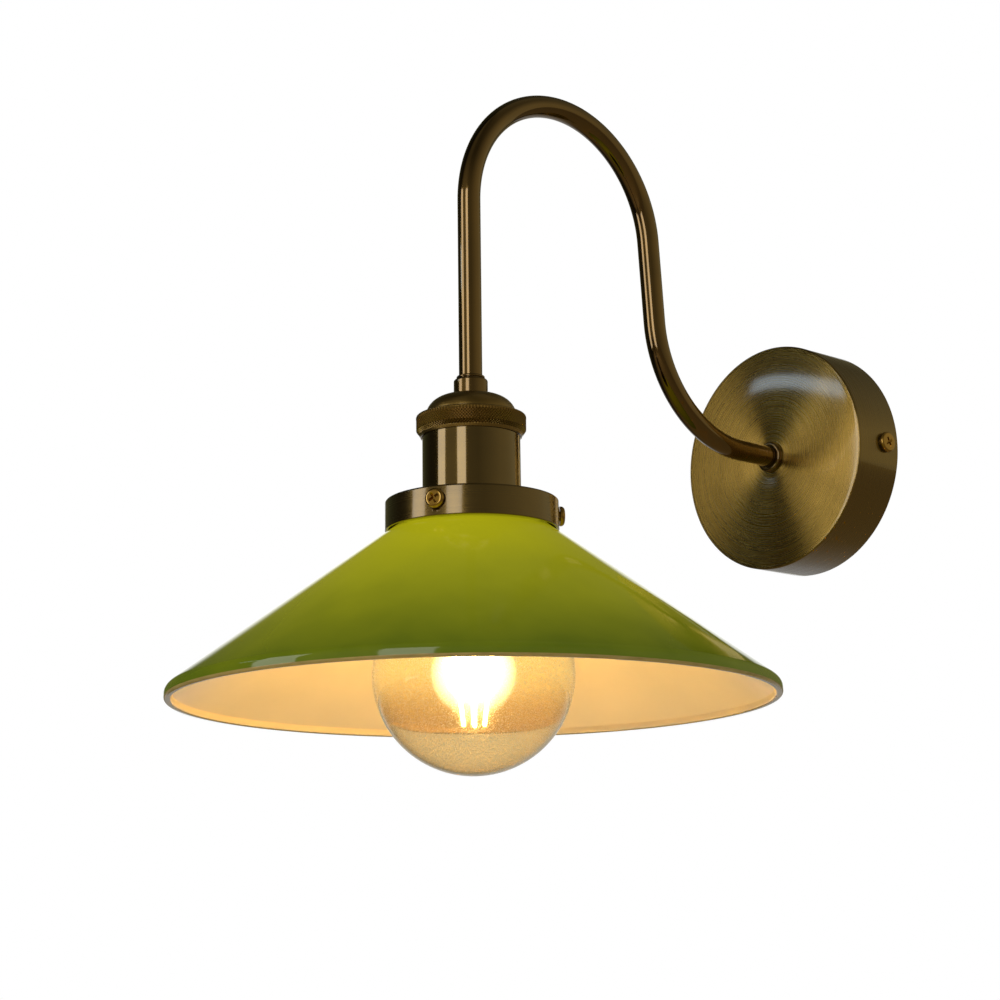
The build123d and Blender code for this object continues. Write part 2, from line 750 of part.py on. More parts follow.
cone_foot_radius = shade_diameter / 2 - shade_rim_radius * (1 - sin(radians(shade_cone_slope)))
cone_foot_height = shade_neck_foot - (cone_foot_radius - shade_neck_radius) * tan(radians(shade_cone_slope))
rim_turn = 90 - shade_cone_slope
with BuildPart() as glass_shade:
    with BuildSketch(lamp_section):
        with BuildLine():
            cone = FilletPolyline(
                (shade_neck_radius, shade_neck_top),
                (shade_neck_radius, shade_neck_foot),
                (cone_foot_radius, cone_foot_height),
                radius=shade_neck_bend,
            )
            JernArc(cone @ 1, cone % 1, shade_rim_radius, -rim_turn)
            offset(amount=shade_thickness, side=Side.RIGHT)
        make_face()
    revolve(axis=lamp_axis)
    rim_edges = glass_shade.edges().filter_by(GeomType.CIRCLE).group_by(Axis.Z)[0]
    fillet(rim_edges, shade_edge_round)
    with BuildSketch(lamp_section):
        with Locations((shade_neck_radius - shade_thickness / 2, shade_neck_top)):
            Rectangle(shade_thickness / 2 + shade_lip, shade_lip_height, align=(Align.MIN, Align.MAX))
    revolve(axis=lamp_axis)
glass_shade.part.label = "glass_shade"
export_step(glass_shade.part, "parts/glass_shade.step")
print("shade box", glass_shade.part.bounding_box())

# ---------------------------------------------------------------- bulb

# The bare neck runs from the glass's open end down to where it would enter the globe.
glass_top = contact_tip - bulb_neck_top
neck_into_globe = bulb_centre + sqrt(bulb_radius**2 - bulb_neck_radius**2)
bulb_neck_foot = glass_top - (glass_top - neck_into_globe) * bulb_neck_share
centre_drop = bulb_neck_foot - bulb_centre
# The neck's hollow bend stands beside a straight neck and meets the globe smoothly.
neck_bend = (bulb_neck_radius**2 + centre_drop**2 - bulb_radius**2) / (2 * (bulb_radius - bulb_neck_radius))
bend_centre = (bulb_neck_radius + neck_bend, bulb_neck_foot)
join_share = bulb_radius / (bulb_radius + neck_bend)
join_point = (bend_centre[0] * join_share, bulb_centre + centre_drop * join_share)
inner_share = (bulb_radius - bulb_glass) / (bulb_radius + neck_bend)
inner_join = (bend_centre[0] * inner_share, bulb_centre + centre_drop * inner_share)
neck_inside = bulb_neck_radius - bulb_glass

with BuildPart() as bulb_globe:
    with BuildSketch(lamp_section):
        with BuildLine():
            Line((neck_inside, glass_top), (bulb_neck_radius, glass_top))
            Line((bulb_neck_radius, glass_top), (bulb_neck_radius, bulb_neck_foot))
            RadiusArc((bulb_neck_radius, bulb_neck_foot), join_point, -neck_bend)
            ThreePointArc(join_point, (bulb_radius, bulb_centre), (0, bulb_foot))
            Line((0, bulb_foot), (0, bulb_foot + bulb_glass))
            ThreePointArc((0, bulb_foot + bulb_glass), (bulb_radius - bulb_glass, bulb_centre), inner_join)
            RadiusArc(inner_join, (neck_inside, bulb_neck_foot), neck_bend + bulb_glass)
            Line((neck_inside, bulb_neck_foot), (neck_inside, glass_top))
        make_face()
    revolve(axis=lamp_axis)
bulb_globe.part.label = "bulb_globe"
export_step(bulb_globe.part, "parts/bulb_globe.step")

skirt_top = glass_top + slip_fit
skirt_height = skirt_top - bulb_neck_foot
skirt_radius = bulb_neck_radius + slip_fit + skirt_wall
cap_bar = knuckle_thread(thread_mean_radius, cap_thread_foot, cap_thread_length)
with BuildPart() as bulb_cap:
    add(cap_bar.part)
    with BuildSketch(lamp_level(bulb_neck_foot)):
        Circle(skirt_radius)
    extrude(amount=cap_thread_foot - bulb_neck_foot)
    with BuildSketch(lamp_level(cap_thread_foot)):
        Circle(cap_bore_radius)
    extrude(amount=cap_thread_length, mode=Mode.SUBTRACT)
    with BuildSketch(lamp_level(skirt_top)):
        Circle(cap_bore_radius)
    extrude(amount=cap_thread_foot - skirt_top, mode=Mode.SUBTRACT)
    with BuildSketch(lamp_level(bulb_neck_foot)):
        Circle(bulb_neck_radius + slip_fit)
    extrude(amount=skirt_height, mode=Mode.SUBTRACT)
bulb_cap.part.label = "bulb_cap"
export_step(bulb_cap.part, "parts/bulb_cap.step")

insulator_foot = cap_thread_top
insulator_top = contact_tip - contact_height - touch_gap
with BuildPart() as bulb_insulator:
    with BuildSketch(lamp_level(insulator_foot)):
        Circle(cap_bore_radius)
    with BuildSketch(lamp_level(insulator_top)):
        Circle(insulator_top_radius)
    loft()
bulb_insulator.part.label = "bulb_insulator"
export_step(bulb_insulator.part, "parts/bulb_insulator.step")

with BuildPart() as bulb_contact:
    with BuildSketch(lamp_level(contact_tip - contact_height)):
        Circle(contact_radius)
    extrude(amount=contact_height)
    fillet(bulb_contact.edges().filter_by(GeomType.CIRCLE).sort_by(Axis.Z)[-1], contact_round)
bulb_contact.part.label = "bulb_contact"
export_step(bulb_contact.part, "parts/bulb_contact.step")

stem_top = glass_top
stem_foot = stem_top - stem_length
bulb_stem = turned(
    [
        (0, stem_top),
        (stem_flare_radius, stem_top),
        (stem_radius, stem_top - stem_flare_height),
        (stem_radius, stem_foot + stem_radius),
        (stem_radius / 2, stem_foot),
        (0, stem_foot),
    ],
    lamp_section,
    lamp_axis,
)
bulb_stem.part.label = "bulb_stem"
export_step(bulb_stem.part, "parts/bulb_stem.step")

stick_top = contact_tip - stick_drop
stick_slope = asin((stick_top_from_axis - stick_foot_from_axis) / stick_length)
stick_foot = stick_top - stick_length * cos(stick_slope)
with BuildPart() as bulb_sticks:
    for k in range(stick_count):
        angle = 360 / stick_count * (k + 0.5)
        foot = radial_plane(angle, stick_foot_from_axis, stick_foot).origin
        top = radial_plane(angle, stick_top_from_axis, stick_top).origin
        with BuildSketch(Plane(origin=foot, z_dir=top - foot)):
            Circle(stick_radius)
        extrude(amount=stick_length)
bulb_sticks.part.label = "bulb_sticks"
export_step(bulb_sticks.part, "parts/bulb_sticks.step")

# A wire from the stem's tip to each stick's upper end, and a star of wires under their feet.
with BuildPart() as bulb_leads:
    for k in range(stick_count):
        angle = 360 / stick_count * (k + 0.5)
        root = radial_plane(angle, lead_root_from_axis, stem_foot + lead_root_depth).origin
        top = radial_plane(angle, stick_top_from_axis, stick_top).origin
        clear = (top - root).normalized() * (stick_radius + lead_clearance)
        with BuildSketch(Plane(origin=top - clear, z_dir=root - top)):
            Circle(lead_radius)
        extrude(amount=(top - root).length - clear.length)
bulb_leads.part.label = "bulb_leads"
export_step(bulb_leads.part, "parts/bulb_leads.step")

driver_top = cap_thread_top - driver_block
with BuildPart() as bulb_driver:
    with BuildSketch(lamp_level(driver_top)):
        Circle(driver_radius)
    extrude(amount=driver_thickness)
    with BuildSketch(lamp_level(driver_top + driver_thickness)):
        Circle(driver_block / 2)
    extrude(amount=driver_block - driver_thickness)
bulb_driver.part.label = "bulb_driver"
export_step(bulb_driver.part, "parts/bulb_driver.step")

# ---------------------------------------------------------------- terminal block

block_plane = wall_level(bracket_thickness)
pole_depth = bracket_thickness + block_depth / 2
block_foot = block_centre_height - block_height / 2
with BuildPart() as terminal_block:
    with BuildSketch(block_plane):
        with Locations((0, block_centre_height)):
            RectangleRounded(block_width, block_height, block_corner)
    extrude(amount=block_depth)
    for side in (-1, 1):
        with BuildSketch(Plane(origin=(side * pole_from_centre, -pole_depth, block_foot))):
            Circle(insert_radius + slip_fit)
        extrude(amount=block_height, mode=Mode.SUBTRACT)
    with BuildSketch(block_plane):
        with Locations((0, block_centre_height)):
            Circle(fixing_screw_radius + slip_fit)
    extrude(amount=block_depth, mode=Mode.SUBTRACT)
    with BuildSketch(block_plane.offset(block_depth)):
        with Locations((0, block_centre_height)):
            with GridLocations(2 * pole_from_centre, block_screw_spacing, 2, 2):
                Circle(block_screw_radius + slip_fit)
    extrude(amount=-block_depth / 2, mode=Mode.SUBTRACT)
terminal_block.part.label = "terminal_block"
export_step(terminal_block.part, "parts/terminal_block.step")

with BuildPart() as terminal_inserts:
    for side in (-1, 1):
        with BuildSketch(
            Plane(origin=(side * pole_from_centre, -pole_depth, block_centre_height - insert_length / 2))
        ):
            Circle(insert_radius)
            Circle(insert_bore, mode=Mode.SUBTRACT)
        extrude(amount=insert_length)
    with BuildSketch(block_plane.offset(block_depth)):
        with Locations((0, block_centre_height)):
            with GridLocations(2 * pole_from_centre, block_screw_spacing, 2, 2):
                Circle(block_screw_radius + slip_fit)
    extrude(amount=-block_depth / 2, mode=Mode.SUBTRACT)
terminal_inserts.part.label = "terminal_inserts"
export_step(terminal_inserts.part, "parts/terminal_inserts.step")

with BuildPart() as block_screws:
    with BuildSketch(block_plane.offset(block_depth / 2 + wire_radius)):
        with Locations((0, block_centre_height)):
            with GridLocations(2 * pole_from_centre, block_screw_spacing, 2, 2):
                Circle(block_screw_radius)
    extrude(amount=block_depth / 2 - 2 * wire_radius)
block_screws.part.label = "block_screws"
export_step(block_screws.part, "parts/block_screws.step")

block_fixing_screw = pan_head_screw(
    Plane(origin=(0, -bracket_thickness - block_depth, block_centre_height), z_dir=(0, -1, 0)),
    fixing_screw_head_radius,
    fixing_screw_head,
    fixing_screw_radius,
    block_depth + bracket_thickness - slip_fit,
)
block_fixing_screw.part.label = "block_fixing_screw"
export_step(block_fixing_screw.part, "parts/block_fixing_screw.step")

# ---------------------------------------------------------------- earth point

tag_barrel_radius = wire_radius + slip_fit + tag_barrel_wall
tag_barrel_y = -bracket_thickness - tag_barrel_radius
tag_barrel_foot = -earth_screw_below + side_screw_head_radius + loose_fit
with BuildPart() as earth_tag:
    with BuildSketch(block_plane):
        with Locations((0, -earth_screw_below)):
            Circle(tag_radius)
        with Locations((0, -earth_screw_below)):
            Rectangle(
                tag_radius, tag_barrel_foot + earth_screw_below + tag_overlap, align=(Align.CENTER, Align.MIN)
            )
        with Locations((0, -earth_screw_below)):
            Circle(screw_radius + slip_fit, mode=Mode.SUBTRACT)
    extrude(amount=tag_thickness)
    with BuildSketch(Plane(origin=(0, tag_barrel_y, tag_barrel_foot))):
        Circle(tag_barrel_radius)
    extrude(amount=tag_barrel_length)
    with BuildSketch(Plane(origin=(0, tag_barrel_y, tag_barrel_foot))):
        Circle(wire_radius + slip_fit)
    extrude(amount=tag_barrel_length, mode=Mode.SUBTRACT)
earth_tag.part.label = "earth_tag"
export_step(earth_tag.part, "parts/earth_tag.step")

earth_plane = Plane(origin=(0, -bracket_thickness - tag_thickness, -earth_screw_below), z_dir=(0, -1, 0))
with BuildPart() as earth_washer:
    with BuildSketch(earth_plane):
        Circle(tag_radius)
        Circle(screw_radius + slip_fit, mode=Mode.SUBTRACT)
    extrude(amount=tag_thickness)
earth_washer.part.label = "earth_washer"
export_step(earth_washer.part, "parts/earth_washer.step")

earth_screw = pan_head_screw(
    earth_plane.offset(tag_thickness),
    side_screw_head_radius,
    screw_head_height,
    screw_radius,
    2 * tag_thickness + bracket_thickness - slip_fit,
)
earth_screw.part.label = "earth_screw"
export_step(earth_screw.part, "parts/earth_screw.step")

# ---------------------------------------------------------------- wires

wire_inner_end = tube_inner_end + bushing_lip + wire_inset
wire_lower_end = tube_lower_end - wire_inset
post_top = core_top + terminal_height
wire_rest = post_top - terminal_wire_depth
canopy_tails = {
    "live_wire": [
        (wire_spacing, wire_inner_end, 0),
        (wire_spacing, wire_inner_end + wire_entry, 0),
        (pole_from_centre, -pole_depth, wire_turn_height),
        (pole_from_centre, -pole_depth, block_foot + wire_entry),
    ],
    "neutral_wire": [
        (-wire_spacing, wire_inner_end, 0),
        (-wire_spacing, wire_inner_end + wire_entry, 0),
        (-pole_from_centre, -pole_depth, wire_turn_height),
        (-pole_from_centre, -pole_depth, block_foot + wire_entry),
    ],
    "earth_wire": [
        (0, wire_inner_end, 0),
        (0, tag_barrel_y, 0),
        (0, tag_barrel_y, tag_barrel_foot),
    ],
}
socket_tails = {}
for name, sideways, angle in (
    ("live_wire", wire_spacing, terminal_angles[0]),
    ("neutral_wire", -wire_spacing, terminal_angles[1]),
    ("earth_wire", 0, terminal_angles[2]),
):
    landing = radial_plane(angle, terminal_from_axis, wire_rest).origin
    drop = wire_lower_end - post_top
    socket_tails[name] = [
        (sideways, lamp_y, wire_lower_end),
        (sideways, lamp_y, wire_lower_end - drop * wire_lead_in_share),
        (landing.X, landing.Y, post_top + drop * wire_lead_in_share),
        (landing.X, landing.Y, wire_rest),
    ]

for name, tail in canopy_tails.items():
    sideways = tail[0][0]
    middle = arm_route(sideways, wire_inner_end, wire_lower_end)
    with BuildPart() as wire:
        with BuildSketch(Plane(origin=(sideways, wire_inner_end, 0), z_dir=(0, -1, 0))):
            Circle(wire_radius)
        sweep(path=middle.wire())
        for route in (tail, socket_tails[name]):
            radii = bend_radii(route)
            print(name, "bend radii", [round(radius, 1) for radius in radii])
            with BuildLine() as end_line:
                FilletPolyline(*route, radius=radii)
            start_direction = Vector(*route[1]) - Vector(*route[0])
            with BuildSketch(Plane(origin=route[0], z_dir=start_direction)):
                Circle(wire_radius)
            sweep(path=end_line.wire())
    wire.part.label = name
    export_step(wire.part, f"parts/{name}.step")
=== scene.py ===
"""Gooseneck wall sconce, dressed: antique brass fittings, a cased glass shade and a lit globe bulb."""

import json
from math import atan2, cos, pi, radians, sin, tan

import bmesh
import bpy
from bpy.props import FloatProperty, FloatVectorProperty, IntProperty, PointerProperty
from mathutils import Matrix, Vector


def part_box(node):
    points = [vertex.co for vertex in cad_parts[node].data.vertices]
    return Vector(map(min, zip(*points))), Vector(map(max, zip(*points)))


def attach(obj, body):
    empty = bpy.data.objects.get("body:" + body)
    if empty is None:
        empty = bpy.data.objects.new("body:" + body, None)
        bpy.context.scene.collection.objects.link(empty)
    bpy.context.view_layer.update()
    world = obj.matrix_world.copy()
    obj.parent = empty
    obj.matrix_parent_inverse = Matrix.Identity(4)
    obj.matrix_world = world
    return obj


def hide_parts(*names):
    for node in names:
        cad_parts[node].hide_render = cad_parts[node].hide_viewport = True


bl_info = {
    "name": "Gooseneck Wall Sconce",
    "version": (1, 0, 0),
    "blender": (4, 5, 0),
    "location": "View3D > Sidebar > Sconce",
    "description": "Builds the finished pieces of a gooseneck wall light on its fixed frame",
    "category": "Add Mesh",
}

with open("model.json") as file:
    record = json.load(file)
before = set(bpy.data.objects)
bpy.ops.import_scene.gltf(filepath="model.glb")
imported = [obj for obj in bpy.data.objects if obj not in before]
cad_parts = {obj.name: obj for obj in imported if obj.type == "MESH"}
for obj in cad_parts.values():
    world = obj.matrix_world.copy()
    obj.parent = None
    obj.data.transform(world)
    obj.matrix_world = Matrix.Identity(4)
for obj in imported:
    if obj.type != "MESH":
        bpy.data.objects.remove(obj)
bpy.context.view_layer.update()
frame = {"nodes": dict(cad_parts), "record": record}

# Outlines are drawn in millimetres, across and up, and are placed in metres.
MILLIMETRES = Matrix.Scale(0.001, 4)
ARC_STEPS = 8
# Angles of the shade screws round the lamp, and the radius of the hole below the lamp holder.
SCREW_TURNS = (-65.2, 54.8, 174.8)
SHELL_MOUTH = 16.85
# Radial clearance of each hole round the arm's tube.
CLEARANCE = 0.1


# ---------------------------------------------------------------- places


def place_of(node):
    """Centre, lowest and highest corner of a frame node in millimetres."""
    low, high = (corner * 1000 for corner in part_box(node))
    return (low + high) / 2, low, high


def facing(centre, outward):
    """Placement whose up axis points outward from a centre given in millimetres."""
    up = Vector(outward).normalized()
    rise = Vector((0, 0, 1))
    across = rise.cross(up).normalized()
    turn = Matrix((across, up.cross(across), up)).transposed().to_4x4()
    return MILLIMETRES @ Matrix.Translation(centre) @ turn


LAMP_Y = place_of("socket_shell")[0].y
LAMP = MILLIMETRES @ Matrix.Translation((0, LAMP_Y, 0))
WALL = facing((0, 0, 0), (0, -1, 0))


# ---------------------------------------------------------------- drawing and turning


def run(mesh, here, across, up):
    """Grows a straight edge from a point to the next place on an outline."""
    grown = bmesh.ops.extrude_vert_indiv(mesh, verts=[here])["verts"][0]
    grown.co = (across, 0, up)
    return grown


def swing(mesh, here, across, up, angle, steps):
    """Grows an arc from a point about a centre. A positive angle turns from up towards across."""
    grown = bmesh.ops.spin(
        mesh,
        geom=[here],
        cent=(across, 0, up),
        axis=(0, 1, 0),
        angle=angle,
        steps=steps,
        use_duplicate=False,
    )
    return next(item for item in grown["geom_last"] if isinstance(item, bmesh.types.BMVert))


def draw(mesh, corners, closed=True, steps=ARC_STEPS):
    """Draws an outline through corners of (across, up, radius), with a true arc at each rounded corner."""
    points = [Vector((across, 0, up)) for across, up, _ in corners]
    here = first = None
    for k, corner in enumerate(points):
        bend = corners[k][2]
        entry = corner
        if bend:
            back = (points[k - 1] - corner).normalized()
            ahead = (points[(k + 1) % len(points)] - corner).normalized()
            half = back.angle(ahead) / 2
            entry = corner + back * (bend / tan(half))
            centre = corner + (back + ahead).normalized() * (bend / sin(half))
            leave = corner + ahead * (bend / tan(half))
            turn = (entry - centre).cross(leave - centre).y
        here = run(mesh, here, entry.x, entry.z) if here else mesh.verts.new(entry)
        first = first or here
        if bend:
            angle = (pi - 2 * half) * (1 if turn > 0 else -1)
            here = swing(mesh, here, centre.x, centre.z, angle, steps)
    if closed:
        mesh.edges.new((here, first))
    return here


def revolve(mesh, steps):
    """Turns the whole outline about the up axis into a closed skin."""
    bmesh.ops.spin(
        mesh,
        geom=mesh.verts[:] + mesh.edges[:],
        cent=(0, 0, 0),
        axis=(0, 0, 1),
        angle=2 * pi,
        steps=steps,
        use_merge=True,
        use_duplicate=False,
    )
    bmesh.ops.remove_doubles(mesh, verts=mesh.verts, dist=0.0005)


def turned(corners, steps=96, arc_steps=ARC_STEPS):
    """Mesh turned from one closed outline."""
    mesh = bmesh.new()
    draw(mesh, corners, steps=arc_steps)
    revolve(mesh, steps)
    return mesh


def drilled(thing, cutters):
    """Cuts each cutter mesh out of a piece and keeps the cut mesh."""
    for cutter in cutters:
        data = bpy.data.meshes.new("cutter")
        cutter.to_mesh(data)
        cutter.free()
        tool = bpy.data.objects.new("cutter", data)
        bpy.context.scene.collection.objects.link(tool)
        cut = thing.modifiers.new("cut", "BOOLEAN")
        cut.operation = "DIFFERENCE"
        cut.solver = "EXACT"
        cut.object = tool
        bpy.context.view_layer.update()
        seen = thing.evaluated_get(bpy.context.evaluated_depsgraph_get())
        result = bpy.data.meshes.new_from_object(seen)
        thing.modifiers.clear()
        thing.data = result
        bpy.data.objects.remove(tool)
    thing.data.name = thing.name
    return thing


def rod_cutter(place, radius, length):
    """Round cutter that lies along the up axis of a placement."""
    mesh = bmesh.new()
    bmesh.ops.create_cone(
        mesh, cap_ends=True, segments=40, radius1=radius, radius2=radius, depth=length, matrix=place
    )
    return mesh


def piece(name, mesh, place, body, slot, replaced, crease=32, extra_finishes=()):
    """Makes an object of a mesh, with outward faces and sharp creases, riding on its body."""
    bmesh.ops.transform(mesh, matrix=place, verts=mesh.verts)
    bmesh.ops.recalc_face_normals(mesh, faces=mesh.faces)
    for face in mesh.faces:
        face.smooth = True
    data = bpy.data.meshes.new(name)
    mesh.to_mesh(data)
    mesh.free()
    for finish in (finish_of(slot), *extra_finishes):
        data.materials.append(finish)
    data.set_sharp_from_angle(angle=radians(crease))
    thing = bpy.data.objects.new(name, data)
    bpy.context.scene.collection.objects.link(thing)
    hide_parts(*replaced)
    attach(thing, body)
    return thing


# ---------------------------------------------------------------- finishes


class Finish:
    """Node material under construction: a principled shader fed by patterns on object coordinates."""

    def __init__(self, name):
        self.material = bpy.data.materials.new(name)
        self.material.use_nodes = True
        self.tree = self.material.node_tree
        self.shader = self.tree.nodes["Principled BSDF"]
        self.place = self.node("ShaderNodeTexCoord").outputs["Object"]

    def feed(self, socket, value):
        """Links an output to a socket, or sets the socket to a plain value."""
        if isinstance(value, bpy.types.NodeSocket):
            self.tree.links.new(value, socket)
        else:
            socket.default_value = value

    def node(self, kind, inputs=None, **settings):
        """Adds a node with its settings and inputs."""
        made = self.tree.nodes.new(kind)
        for key, value in settings.items():
            setattr(made, key, value)
        for key, value in (inputs or {}).items():
            self.feed(made.inputs[key], value)
        return made

    def set(self, **values):
        """Feeds inputs of the principled shader, named with underscores for spaces."""
        for key, value in values.items():
            self.feed(self.shader.inputs[key.replace("_", " ")], value)

    def noise(self, scale, detail=3.0, stretch=(1, 1, 1), source=None):
        """Noise on the piece's own coordinates, stretched by a scale for each axis."""
        scales = [scale * each for each in stretch]
        spread = self.node("ShaderNodeMapping", {"Vector": source or self.place, "Scale": scales})
        inputs = {"Vector": spread.outputs[0], "Scale": 1.0, "Detail": detail}
        return self.node("ShaderNodeTexNoise", inputs).outputs["Fac"]

    def between(self, value, low, high, out_low=0.0, out_high=1.0):
        """Carries a value from one span to another."""
        inputs = {"Value": value, "From Min": low, "From Max": high, "To Min": out_low, "To Max": out_high}
        return self.node("ShaderNodeMapRange", inputs).outputs["Result"]

    def mix(self, amount, first, second):
        """Blends two colours by the output of a node."""
        made = self.node("ShaderNodeMix", data_type="RGBA")
        # The node keeps one set of sockets for each data type: 6 and 7 are its colours, 2 its result.
        self.feed(made.inputs[0], amount)
        for socket, value in ((made.inputs[6], first), (made.inputs[7], second)):
            self.feed(socket, value if isinstance(value, bpy.types.NodeSocket) else (*value, 1))
        return made.outputs[2]

    def bump(self, height, depth, strength=1.0):
        """Fine relief of a depth in metres."""
        made = self.node("ShaderNodeBump", {"Height": height, "Distance": depth, "Strength": strength})
        self.set(Normal=made.outputs["Normal"])

    def math(self, operation, first, second=0.0):
        """Result of an operation on two values."""
        made = self.node("ShaderNodeMath", operation=operation)
        self.feed(made.inputs[0], first)
        self.feed(made.inputs[1], second)
        return made.outputs[0]


def scaled(tone, share):
    """A colour made darker or lighter by a share."""
    return [each * share for each in tone]


def brass(
    name,
    tone,
    roughness,
    lacquer,
    lacquer_roughness,
    brushed=0.0,
    about=None,
    relief=1.2e-6,
    side=None,
):
    """Lacquered antique brass, brushed round an axis if one is named, and darkened beyond a side radius as
    painted shade.
    """
    brush_scale, drawn_scale, painted_side_shade = 2500.0, 1000.0, 0.55
    finish = Finish(name)
    colours = bpy.context.scene.sconce_colours
    patina = finish.noise(55, 4)
    coloured = finish.mix(finish.between(patina, 0.3, 0.7), scaled(tone, colours.brass_shade), tone)
    finish.set(Base_Color=coloured)
    if about:
        split = finish.node("ShaderNodeSeparateXYZ", {"Vector": finish.place}).outputs
        second = finish.math("SUBTRACT", split["Y"], LAMP_Y * 0.001) if about == "Z" else split["Z"]
        squares = finish.math("POWER", split["X"], 2.0), finish.math("POWER", second, 2.0)
        radius = finish.math("SQRT", finish.math("ADD", *squares))
        # Painted shade: past the side radius the base colour is darkened.
        if side:
            edge = finish.between(radius, side - 0.0003, side)
            finish.set(Base_Color=finish.mix(edge, coloured, scaled(tone, painted_side_shade)))
        rings = finish.node("ShaderNodeCombineXYZ", {"X": radius, "Y": split[about], "Z": 0.0}).outputs[0]
        lines = finish.noise(brush_scale, 2, source=rings)
        tangent = finish.node("ShaderNodeTangent", direction_type="RADIAL", axis=about).outputs[0]
        # A quarter turn makes the highlight of the radial tangent run across the brushed rings.
        finish.set(Tangent=tangent, Anisotropic=brushed, Anisotropic_Rotation=0.25)
    else:
        lines = finish.noise(drawn_scale, 3)
    finish.set(Roughness=finish.between(lines, 0.25, 0.75, roughness * 0.8, roughness * 1.2))
    finish.bump(lines, relief)
    finish.set(Metallic=1.0, Coat_Weight=lacquer, Coat_Roughness=lacquer_roughness, Coat_IOR=1.6)
    return finish.material


def plain_metal(name, tone, roughness):
    """Plated or drawn metal with a fine even grain."""
    finish = Finish(name)
    lines = finish.noise(900, 4)
    finish.set(Base_Color=finish.mix(finish.between(lines, 0.3, 0.7), scaled(tone, 0.8), tone))
    finish.set(Roughness=finish.between(finish.noise(300, 3), 0.3, 0.7, roughness * 0.8, roughness * 1.25))
    finish.bump(lines, 1e-5)
    finish.set(Metallic=1.0)
    return finish.material


def moulded(name, tone, roughness=0.45, relief=1e-5):
    """Moulded plastic, wire sleeve or porcelain with a faint mottle."""
    finish = Finish(name)
    mottle = finish.noise(400, 4)
    finish.set(Base_Color=finish.mix(finish.between(mottle, 0.3, 0.7), scaled(tone, 0.88), tone))
    finish.set(Roughness=finish.between(mottle, 0.3, 0.7, roughness * 0.85, roughness * 1.15))
    finish.bump(mottle, relief)
    return finish.material


def cased_green():
    """Green outer layer of the shade with blown streaks, and a painted glow of the bulb's light: brighter
    and yellower near the bulb, and giving off light.
    """
    colours = bpy.context.scene.sconce_colours
    finish = Finish("shade_green")
    height = finish.node("ShaderNodeSeparateXYZ", {"Vector": finish.place}).outputs["Z"]
    drift = finish.between(finish.noise(28, 3, (1, 1, 0.5)), 0.2, 0.8, -0.006, 0.006)
    # Painted glow: the colour ramp makes the green lighter and yellower towards the gallery, near the bulb,
    # and the same colour is given off as emission.
    level = finish.between(finish.math("ADD", height, drift), -0.055, -0.124)
    ramp = finish.node("ShaderNodeValToRGB", {"Fac": level})
    stops = ramp.color_ramp.elements
    stops[0].color, stops[1].color = (*colours.shade_top_painted_glow, 1), (*colours.shade_foot, 1)
    stops.new(0.45).color = (*colours.shade_middle_painted_glow, 1)
    green = ramp.outputs["Color"]
    finish.set(Base_Color=green, Emission_Color=green, Emission_Strength=colours.shade_glow)
    finish.set(Roughness=finish.between(finish.noise(60, 3), 0.3, 0.7, 0.04, 0.09), IOR=1.5)
    finish.bump(finish.noise(22, 1), 4e-4, 0.5)
    return finish.material


def cased_cream():
    """Opal inner layer of the shade, with a faint cloudiness."""
    colours = bpy.context.scene.sconce_colours
    finish = Finish("shade_cream")
    cloud = finish.between(finish.noise(35, 4), 0.25, 0.75)
    finish.set(Base_Color=finish.mix(cloud, scaled(colours.shade_inside, 0.94), colours.shade_inside))
    finish.set(Roughness=finish.between(finish.noise(80, 3), 0.3, 0.7, 0.16, 0.24), IOR=1.5)
    finish.bump(finish.noise(22, 1), 4e-4, 0.5)
    return finish.material


def glass_edge():
    """Ground and fire-polished edge of the shade, where both layers show."""
    colours = bpy.context.scene.sconce_colours
    finish = Finish("shade_edge")
    streak = finish.between(finish.noise(160, 3, (1, 1, 6)), 0.3, 0.7)
    finish.set(Base_Color=finish.mix(streak, scaled(colours.shade_edge, 0.7), colours.shade_edge))
    finish.set(Roughness=finish.between(streak, 0.0, 1.0, 0.05, 0.12), IOR=1.5)
    return finish.material


def amber_glass():
    """Clear amber glass, finely seeded, with painted glow: lighter near the sticks, deeper towards its
    foot, and emission for the bloom of the lit sticks.
    """
    colours = bpy.context.scene.sconce_colours
    finish = Finish("bulb_glass")
    height = finish.node("ShaderNodeSeparateXYZ", {"Vector": finish.place}).outputs["Z"]
    # Painted glow: the glass is lighter and yellower beside the sticks and deeper amber below them.
    level = finish.between(height, -0.116, -0.132)
    finish.set(Base_Color=finish.mix(level, colours.bulb_top_painted_glow, colours.bulb_foot))
    seeds = finish.between(finish.noise(2600, 1), 0.60, 0.66)
    finish.set(Roughness=finish.between(seeds, 0.0, 1.0, 0.0, 0.42), IOR=1.45, Transmission_Weight=1.0)
    # Painted bloom: emission fills the middle of the globe as it is seen, and a faint part of it reaches
    # the edge.
    slant = finish.node("ShaderNodeLayerWeight", {"Blend": 0.5}).outputs["Facing"]
    head_on = finish.math("SUBTRACT", 1.0, slant)
    bloom = finish.between(head_on, 0.954, 0.979, 0.035, colours.bulb_bloom)
    finish.set(Emission_Color=(1.0, 0.88, 0.62, 1), Emission_Strength=bloom)
    finish.bump(finish.noise(60, 2), 5e-5, 0.3)
    return finish.material


def clear_glass(name, tone, roughness):
    """Clear tinted glass with faint waves."""
    finish = Finish(name)
    wave = finish.noise(90, 2)
    finish.set(Base_Color=finish.mix(finish.between(wave, 0.3, 0.7), scaled(tone, 0.97), tone))
    finish.set(Roughness=roughness, IOR=1.45, Transmission_Weight=1.0)
    finish.bump(wave, 5e-5, 0.3)
    return finish.material


def glowing(name, tone, strength):
    """Phosphor that gives light."""
    finish = Finish(name)
    grain = finish.between(finish.noise(1500, 2), 0.3, 0.7, strength * 0.85, strength)
    finish.set(Base_Color=(*tone, 1), Emission_Color=(*tone, 1), Emission_Strength=grain, Roughness=0.6)
    return finish.material


